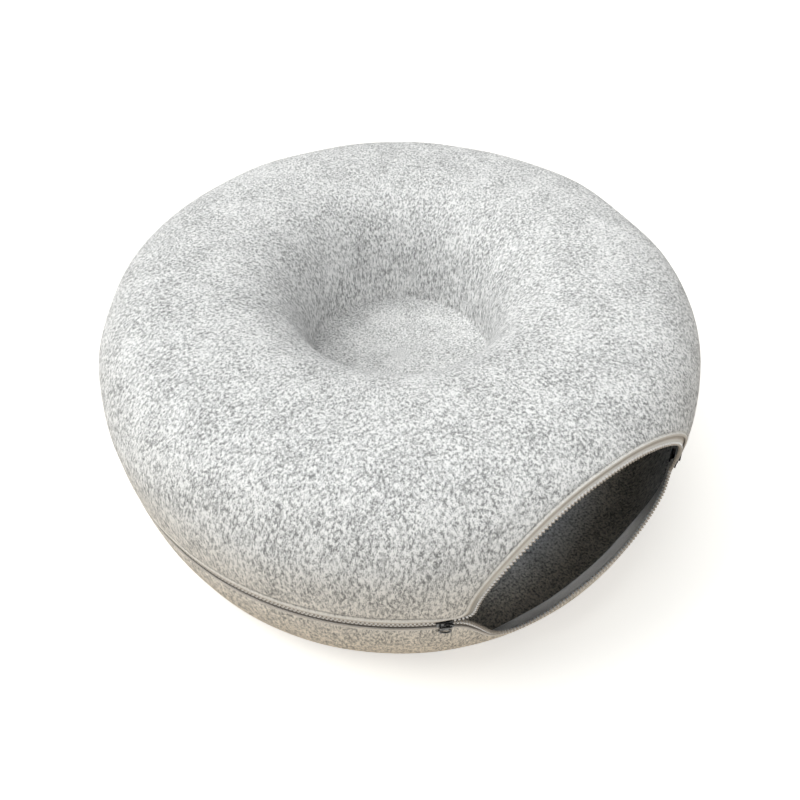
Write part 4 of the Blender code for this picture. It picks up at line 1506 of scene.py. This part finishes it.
@dataclass
class WaistZip:
    """The zip round the waist and along the mouth: tapes, teeth and the upper half's seam.

    Attributes:
        pitch: Distance between the teeth of one row.
        end_gap: Gap between a slider and the row's end.
        sharp: Angle from which a tooth's edges are drawn sharp.
        run_points: Points of the meshed rows' line.
        tape_inner_edge, mouth_edge: Distance from the teeth's crests to the tape's free edge
            behind, and along the mouth.
        tape_sewn: Width of the tape's part that lies under the felt.
        free_rows: Lines of points on its part between the teeth and the felt.
        sewn_shares: Places of the further lines, as shares of the sewn part.
        seam_inset, seam_pitch: The stitches' distance from the felt's edge and their spacing.
    """

    shape: BodyShape
    finishes: Finishes
    pitch: float = 0.00294
    end_gap: float = 0.0004
    sharp: float = math.radians(50)
    run_points: int = 400
    tape_thickness: float = 0.0008
    tape_inner_edge: float = 0.0012
    mouth_edge: float = 0.0001
    tape_sewn: float = 0.0098
    free_rows: int = 6
    sewn_shares: tuple[float, ...] = (0.06, 0.12, 0.17, 0.25, 0.45, 0.65, 0.84, 0.93, 1.0)
    tape_columns: int = 720
    seam_inset: float = 0.0031
    seam_pitch: float = 0.0034

    def tape(self, half: Half) -> bpy.types.Object:
        """A tape all the way round: a flat strip that follows the edge's offsets.

        Args:
            half: Which half it is sewn to.

        Returns:
            The tape, mapped in metres along and across.
        """
        shape, felt_edge = self.shape, self.shape.felt_edge(half)
        free = np.linspace(self.tape_inner_edge, felt_edge, self.free_rows)
        offsets = np.append(free, felt_edge + np.array(self.sewn_shares) * self.tape_sewn)
        reference = shape.loop(half, felt_edge)
        picks = even_picks(reference, self.tape_columns)
        grid = self.lines(half, offsets, picks)
        reaching = self.lines(half, np.linspace(self.mouth_edge, felt_edge, self.free_rows), picks)
        mouth = shape.mouth_share(reaching[..., 0])
        near = grid[:, :self.free_rows]
        near += mouth[..., None] * (reaching - near)
        across, up, depth, lean = np.moveaxis(grid, 2, 0)
        depth = shape.tape_depth + depth
        half_thick = self.tape_thickness / 2
        aside, above = half_thick * np.sin(lean), half_thick * np.cos(lean)
        front = shape.on_wall(across, up + half.value * -aside, depth - above)
        back = shape.on_wall(across, up + half.value * aside, depth + above)
        solid = lofted(np.concatenate([front, back[:, ::-1]], axis=1), closed=True)
        made = solid.to_object(f"waist_{half.word}_tape_woven", self.finishes.tape)
        self.map_strip(made, float(lengths_along(reference[:, :2])[-1]), offsets)
        write_values(made, "mouth", np.repeat(mouth[:, 0], 2 * len(offsets)))
        return ride(made, half.body, [f"waist_{half.word}_tape"])

    def lines(self, half: Half, offsets: np.ndarray, picks: np.ndarray) -> np.ndarray:
        """A half's edge lines at several offsets: stations by offsets by the loop's columns."""
        return np.stack([pick(self.shape.loop(half, offset), picks) for offset in offsets], axis=1)

    def map_strip(self, made: bpy.types.Object, length: float, offsets: np.ndarray) -> None:
        """Gives a closed strip its own map, in metres, without a jump where it meets itself.

        Args:
            made: The closed strip.
            length: Its length round the body.
            offsets: Places across it, in metres.
        """
        around_it = 2 * len(offsets)
        station, place = np.divmod(corner_points(made), around_it)
        across = np.append(offsets, offsets[::-1])[place]
        faces = station.reshape(-1, 4)
        wraps = (faces.max(axis=1) - faces.min(axis=1) > 1)[:, None] & (faces == 0)
        faces = faces + wraps * self.tape_columns
        write_map(made, faces.ravel() * length / self.tape_columns, across)
        # The back face's value tells the tape's finish where to paint light on it.
        behind = np.arange(len(made.data.vertices)) % around_it >= len(offsets)
        write_values(made, "behind", behind)

    def closed_run(self, half: Half) -> EdgeRun:
        """The meshed rows' line, from the left slider's narrow end round the back.

        Args:
            half: Which half.

        Returns:
            The run that the meshed teeth follow.
        """
        past = self.shape.slider_place + self.shape.slider_length / 2 + self.end_gap
        start, end = past, math.tau * self.shape.tape_radius - past
        line = np.zeros((self.run_points, 4))
        line[:, 0] = np.linspace(start, end, self.run_points)
        return EdgeRun(self.shape, line, half.value, self.shape.tape_depth)

    def mouth_run(self, half: Half) -> EdgeRun:
        """The parted row's line along the mouth, from slider to slider.

        Args:
            half: Which half.

        Returns:
            The run that the parted teeth follow.
        """
        reach = self.shape.slider_place - self.shape.slider_length / 2 - self.end_gap
        line = self.shape.strip(half, reach, 0.0)
        return EdgeRun(self.shape, line, half.value, self.shape.tape_depth)

    def teeth(self, half: Half) -> None:
        """A half's meshed teeth round the back and its parted teeth along the mouth.

        Args:
            half: Which half.
        """
        form = Tooth()
        tooth = form.mesh()
        for name, run, phase in (("waist", self.closed_run(half), half.phase),
                                 ("mouth", self.mouth_run(half), 0.5)):
            row = repeated(tooth, run.stations(self.pitch, phase), run.place)
            piece = row.to_object(f"{name}_{half.word}_teeth_moulded", self.finishes.teeth)
            piece.data.set_sharp_from_angle(angle=self.sharp)
            copies = len(piece.data.vertices) // len(tooth.points)
            # The head value marks where the teeth's finish paints shade.
            write_values(piece, "head", np.tile(tooth.points[:, 1] < form.head, copies))
            ride(piece, half.body, [f"{name}_{half.word}_teeth"])

    def seam(self, half: Half) -> bpy.types.Object:
        """The row of stitches that shows, in the upper felt's groove beside its edge.

        Args:
            half: Which half.

        Returns:
            The row of stitches.
        """
        shape, felt_edge = self.shape, self.shape.felt_edge(half)
        narrow = shape.loop(half, felt_edge + self.seam_inset * shape.hem_mouth)
        wide = shape.loop(half, felt_edge + self.seam_inset * shape.hem_waist)
        share = shape.hem(half, wide[:, 0]) - shape.hem_mouth
        share = (share / (shape.hem_waist - shape.hem_mouth))[:, None]
        line = (1 - share) * narrow + share * wide
        run = EdgeRun(self.shape, line, half.value, 0.0)
        row = repeated(Stitch().mesh(), run.stations(self.seam_pitch), run.place)
        piece = row.to_object(f"waist_{half.word}_seam", self.finishes.thread)
        return ride(piece, half.body)

    def build(self) -> None:
        """Makes both halves of the zip."""
        for half in Half:
            self.tape(half)
            self.teeth(half)
        self.seam(Half.UPPER)


@dataclass
class Casting:
    """A casting with the frame's shape and the small round edges that a mould leaves.

    Attributes:
        node: The frame's node that it stands for.
        edge: Width of its rounded edges.
        corner: Angle from which an edge is rounded.
        flat: Angle up to which neighbouring triangles are one face.
        weld: Distance up to which two points are one.
    """

    node: str
    body: str
    material: bpy.types.Material
    slot: str = "black_metal"
    edge: float = 0.00022
    corner: float = math.radians(25)
    flat: float = math.radians(1.5)
    weld: float = 0.000002

    def build(self) -> bpy.types.Object:
        """Copies the node, merges its loose triangles and rounds its sharp edges."""
        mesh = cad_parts[self.node].data.copy()
        mesh.name = f"{self.node}_cast"
        shape = bmesh.new()
        shape.from_mesh(mesh)
        bmesh.ops.remove_doubles(shape, verts=shape.verts, dist=self.weld)
        bmesh.ops.dissolve_limit(shape, angle_limit=self.flat, verts=shape.verts,
                                 edges=shape.edges)
        shape.to_mesh(mesh)
        shape.free()
        mesh.materials.clear()
        mesh.materials.append(self.material)
        mesh.polygons.foreach_set("use_smooth", np.ones(len(mesh.polygons), bool))
        made = into_scene(f"{self.node}_cast", mesh)
        bevel = made.modifiers.new("Round edges", "BEVEL")
        bevel.width = self.edge
        bevel.segments = 2
        bevel.limit_method = "ANGLE"
        bevel.angle_limit = self.corner
        bevel.harden_normals = True
        LOG.info("%s: cast from the frame's node", made.name)
        return ride(made, self.body, [self.node])


# Hub zip


@dataclass(frozen=True)
class CoilTurn:
    """One turn of a nylon coil: a flat loop of monofilament, drawn as an eight-sided bar."""

    width: float = 0.62 * MM
    height: float = 2.0 * MM
    near: float = -0.55 * MM
    far: float = 2.0 * MM

    def mesh(self) -> MeshData:
        """Rounded rectangles at five places across the tape, the first one swollen to a head."""
        places = np.array([0.0, 0.12, 0.3, 0.85, 1.0])
        widths = np.array([0.5, 1.25, 0.95, 0.9, 0.5]) * self.width / 2
        heights = np.array([0.6, 1.0, 0.92, 0.9, 0.6]) * self.height / 2
        turn = np.arange(8) * math.tau / 8 + math.pi / 8
        sections = np.stack([
            np.column_stack([w * np.cos(turn), np.full(8, self.near + p * (self.far - self.near)),
                             h * np.sin(turn)])
            for p, w, h in zip(places, widths, heights)
        ])
        return lofted(sections, closed=False)


@dataclass
class HubZip:
    """The zip round the hub, inside the tunnel: tapes, coils and the small end pieces.

    Attributes:
        radius, wall_radius: Radii of the coils' middle and of the hub's felt.
        box_azimuth, slider_azimuth: Where the retainer box and the slider stand.
        box_gap, slider_gap: Lengths from their middles to the coils' ends.
        tape_end: Azimuth of the tapes' ends, on both sides.
        tape_near, tape_upright, tape_width: Distances from the zip's middle to the tape's free
            edge, to where it bends back and to where it is sewn down.
        sewn_gap: Gap between the sewn tape and the felt.
    """

    shape: BodyShape
    finishes: Finishes
    radius: float = 0.0874
    wall_radius: float = 0.084
    box_azimuth: float = math.radians(-171)
    slider_azimuth: float = math.radians(165)
    tape_end: float = math.radians(176)
    box_gap: float = 0.0035
    slider_gap: float = 0.0061
    coil_pitch: float = 0.00150
    tape_near: float = 0.0013
    tape_upright: float = 0.0054
    tape_width: float = 0.0120
    tape_thickness: float = 0.0008
    sewn_gap: float = 0.0003
    tape_rows: int = 12
    tape_stations: int = 260

    def ring(self, side: int) -> Place:
        """The coils' placing: along is a length round the hub, into is up or down from the zip."""
        def place(along: np.ndarray, into: np.ndarray, out: np.ndarray) -> np.ndarray:
            """Points in space."""
            return around(along / self.radius, self.radius + out,
                          self.shape.hub_height + side * into)
        return place

    def coil(self, half: Half) -> bpy.types.Object:
        """One side's coil, from the retainer box to the slider.

        Args:
            half: Which half.

        Returns:
            The coil.
        """
        start = self.box_azimuth * self.radius + self.box_gap
        end = self.slider_azimuth * self.radius - self.slider_gap
        count = round((end - start) / self.coil_pitch)
        stations = start + (np.arange(count) + half.phase) * (end - start) / count
        row = repeated(CoilTurn().mesh(), stations, self.ring(half.value))
        piece = row.to_object(f"hub_{half.word}_coil_wound", self.finishes.teeth)
        return ride(piece, half.body, [f"hub_{half.word}_coil"])

    def tape(self, half: Half) -> bpy.types.Object:
        """A tape that bends back from the coil to the hub's felt, where it is sewn down.

        Args:
            half: Which half.

        Returns:
            The tape.
        """
        up = np.linspace(self.tape_near, self.tape_width, self.tape_rows)
        back = eased((up - self.tape_upright) / (self.tape_width - self.tape_upright))
        sewn = self.wall_radius + self.sewn_gap + self.tape_thickness / 2
        out = self.radius - back * (self.radius - sewn)
        line = np.stack([out, up], axis=1)
        normal = right_normals(line)
        profile = np.vstack([line + normal * self.tape_thickness / 2,
                             (line - normal * self.tape_thickness / 2)[::-1]])
        turns = np.linspace(-self.tape_end, self.tape_end, self.tape_stations)
        sections = around(turns[:, None], profile[:, 0],
                          self.shape.hub_height + half.value * profile[:, 1])
        solid = lofted(sections, closed=False)
        made = solid.to_object(f"hub_{half.word}_tape_woven", self.finishes.tape)
        station, place = np.divmod(corner_points(made), len(profile))
        along = turns[np.minimum(station, len(turns) - 1)] * self.radius
        write_map(made, along, np.append(up, up[::-1])[place])
        return ride(made, half.body, [f"hub_{half.word}_tape"])

    def build(self) -> None:
        """Makes both sides of the zip and its end pieces."""
        for half in Half:
            self.coil(half)
            self.tape(half)
            self.end_piece(f"hub_{half.word}_stop", half)
        self.end_piece("hub_box", Half.LOWER)
        self.end_piece("hub_pin", Half.UPPER)

    def end_piece(self, node: str, half: Half) -> None:
        """Makes one of the zip's small moulded end pieces."""
        Casting(node, half.body, self.finishes.teeth, "zip_teeth").build()


# Studio


@dataclass(frozen=True)
class Lamp:
    """A wide soft sun.

    Attributes:
        energy: Its strength.
        turn: Its direction on the floor, measured from the camera's.
        height: Its angle over the floor.
        width: The angle that it fills in the sky, which softens its shadows.
    """

    name: str
    energy: float
    turn: float
    height: float
    width: float = math.radians(34)
    colour: Colour = (0.985, 1.0, 0.985)

    def build(self, camera_azimuth: float) -> None:
        """Hangs the lamp at its azimuth and height.

        Args:
            camera_azimuth: The camera's azimuth, in radians.
        """
        data = bpy.data.lights.new(self.name, "SUN")
        data.energy, data.angle, data.color = self.energy, self.width, self.colour
        way = direction(camera_azimuth + self.turn, self.height)
        into_scene(self.name, data).rotation_euler = way.to_track_quat("Z", "Y").to_euler()


@dataclass
class Studio:
    """A pale floor, soft plain light and the camera at the photograph's place.

    Attributes:
        azimuth, elevation, distance: The camera's place round its target.
        picture: Width and height of the picture in pixels.
        sensor: Width of the camera's sensor in millimetres.
        focal: Focal length in the picture's pixels.
        centre: Where the lens's axis meets the picture, in its pixels.
        sky: Strength of the even light from all round.
        glow: How much lighter the floor looks than it is lit.
        floor_side: Half the floor's width.
        sand, pale: The floor's colour where it lights the felt, and where it is seen.
        lamps: The suns.
    """

    azimuth: float = math.radians(-36)
    elevation: float = math.radians(45.44)
    distance: float = 0.666
    target: tuple[float, float, float] = (0.0, 0.0, 0.090)
    picture: float = 800.0
    sensor: float = 36.0
    focal: float = 729.33
    centre: tuple[float, float] = (399.65, 362.2)
    sky: float = 0.33
    glow: float = 0.42
    floor_side: float = 6.0
    sand: Colour = (0.58, 0.53, 0.46)
    pale: Colour = (0.88, 0.86, 0.82)
    lamps: tuple[Lamp, ...] = (
        Lamp("key", 1.38, math.radians(-98), math.radians(45)),
        Lamp("top", 1.02, math.radians(-125), math.radians(75)),
        Lamp("front", 0.66, math.radians(6), math.radians(37)),
    )

    def camera(self) -> None:
        """Places the camera and aims it at the target."""
        back = direction(self.azimuth, self.elevation)
        data = bpy.data.cameras.new("camera")
        data.sensor_width = self.sensor
        data.lens = data.sensor_width * self.focal / self.picture
        data.shift_x = (self.picture / 2 - self.centre[0]) / self.picture
        data.shift_y = (self.centre[1] - self.picture / 2) / self.picture
        data.clip_start = 0.01
        made = into_scene("camera", data)
        made.location = Vector(self.target) + back * self.distance
        made.rotation_euler = (-back).to_track_quat("-Z", "Y").to_euler()
        bpy.context.scene.camera = made

    def seen_or_lit(self, graph: Graph) -> bpy.types.NodeSocket:
        """1 for what the camera, glass and metal see, 0 for the light that the floor gives.

        Args:
            graph: The floor's or the world's graph.

        Returns:
            The value's socket.
        """
        path = graph.node("ShaderNodeLightPath").outputs
        seen = graph.plus(path["Is Camera Ray"], path["Is Glossy Ray"])
        return graph.plus(seen, path["Is Transmission Ray"], clamp=True)

    def floor(self) -> None:
        """A wide floor, white where the camera sees it, pale sand where it lights the felt."""
        g = Graph("floor")
        seen = self.seen_or_lit(g)
        g.set(Base_Color=g.mix(seen, self.sand, self.pale), Roughness=0.9, Specular_IOR_Level=0.0)
        glow = g.node("ShaderNodeEmission", {"Color": (1.0, 1.0, 1.0),
                                             "Strength": g.times(seen, self.glow)})
        both = g.node("ShaderNodeAddShader", {0: g.shader.outputs[0], 1: glow.outputs[0]})
        g.feed(g.tree.nodes["Material Output"].inputs["Surface"], both.outputs[0])
        side = self.floor_side
        corners = [(-side, -side, 0.0), (side, -side, 0.0), (side, side, 0.0), (-side, side, 0.0)]
        mesh = bpy.data.meshes.new("floor")
        mesh.from_pydata(corners, [], [(0, 1, 2, 3)])
        mesh.materials.append(g.material)
        made = into_scene("floor", mesh)

    def light(self) -> None:
        """An even sky, white to the camera, and the lamps."""
        world = bpy.data.worlds.new("studio")
        bpy.context.scene.world = world
        world.use_nodes = True
        tree = world.node_tree
        shade = tree.nodes["Background"]
        path = tree.nodes.new("ShaderNodeLightPath").outputs
        seen = tree.nodes.new("ShaderNodeMath")
        seen.operation, seen.use_clamp = "ADD", True
        tree.links.new(path["Is Camera Ray"], seen.inputs[0])
        tree.links.new(path["Is Transmission Ray"], seen.inputs[1])
        mix = tree.nodes.new("ShaderNodeMix")
        mix.data_type = "RGBA"
        tree.links.new(seen.outputs[0], mix.inputs[0])
        mix.inputs[6].default_value = (self.sky, self.sky * 1.01, self.sky * 1.02, 1.0)
        mix.inputs[7].default_value = (1.0, 1.0, 1.0, 1.0)
        tree.links.new(mix.outputs[2], shade.inputs["Color"])
        shade.inputs["Strength"].default_value = 1.0
        for lamp in self.lamps:
            lamp.build(self.azimuth)

    def build(self) -> None:
        """Sets up the camera, the floor and the light."""
        bpy.context.scene.view_settings.view_transform = "Standard"
        self.camera()
        self.floor()
        self.light()


def main() -> None:
    """Builds the tunnel's pieces in order and the studio round them."""
    logging.basicConfig(level=logging.INFO, format="%(name)s: %(message)s")
    shape, finishes = BodyShape(), Finishes.made()
    for half in Half:
        FeltShell(shape, half, finishes).build()
    WaistZip(shape, finishes).build()
    HubZip(shape, finishes).build()
    for place in ("left", "right", "hub"):
        for part in ("slider", "pull"):
            Casting(f"{place}_{part}", f"{place}_{part}", finishes.metal).build()
    Studio().build()


if __name__ == "__main__":
    main()
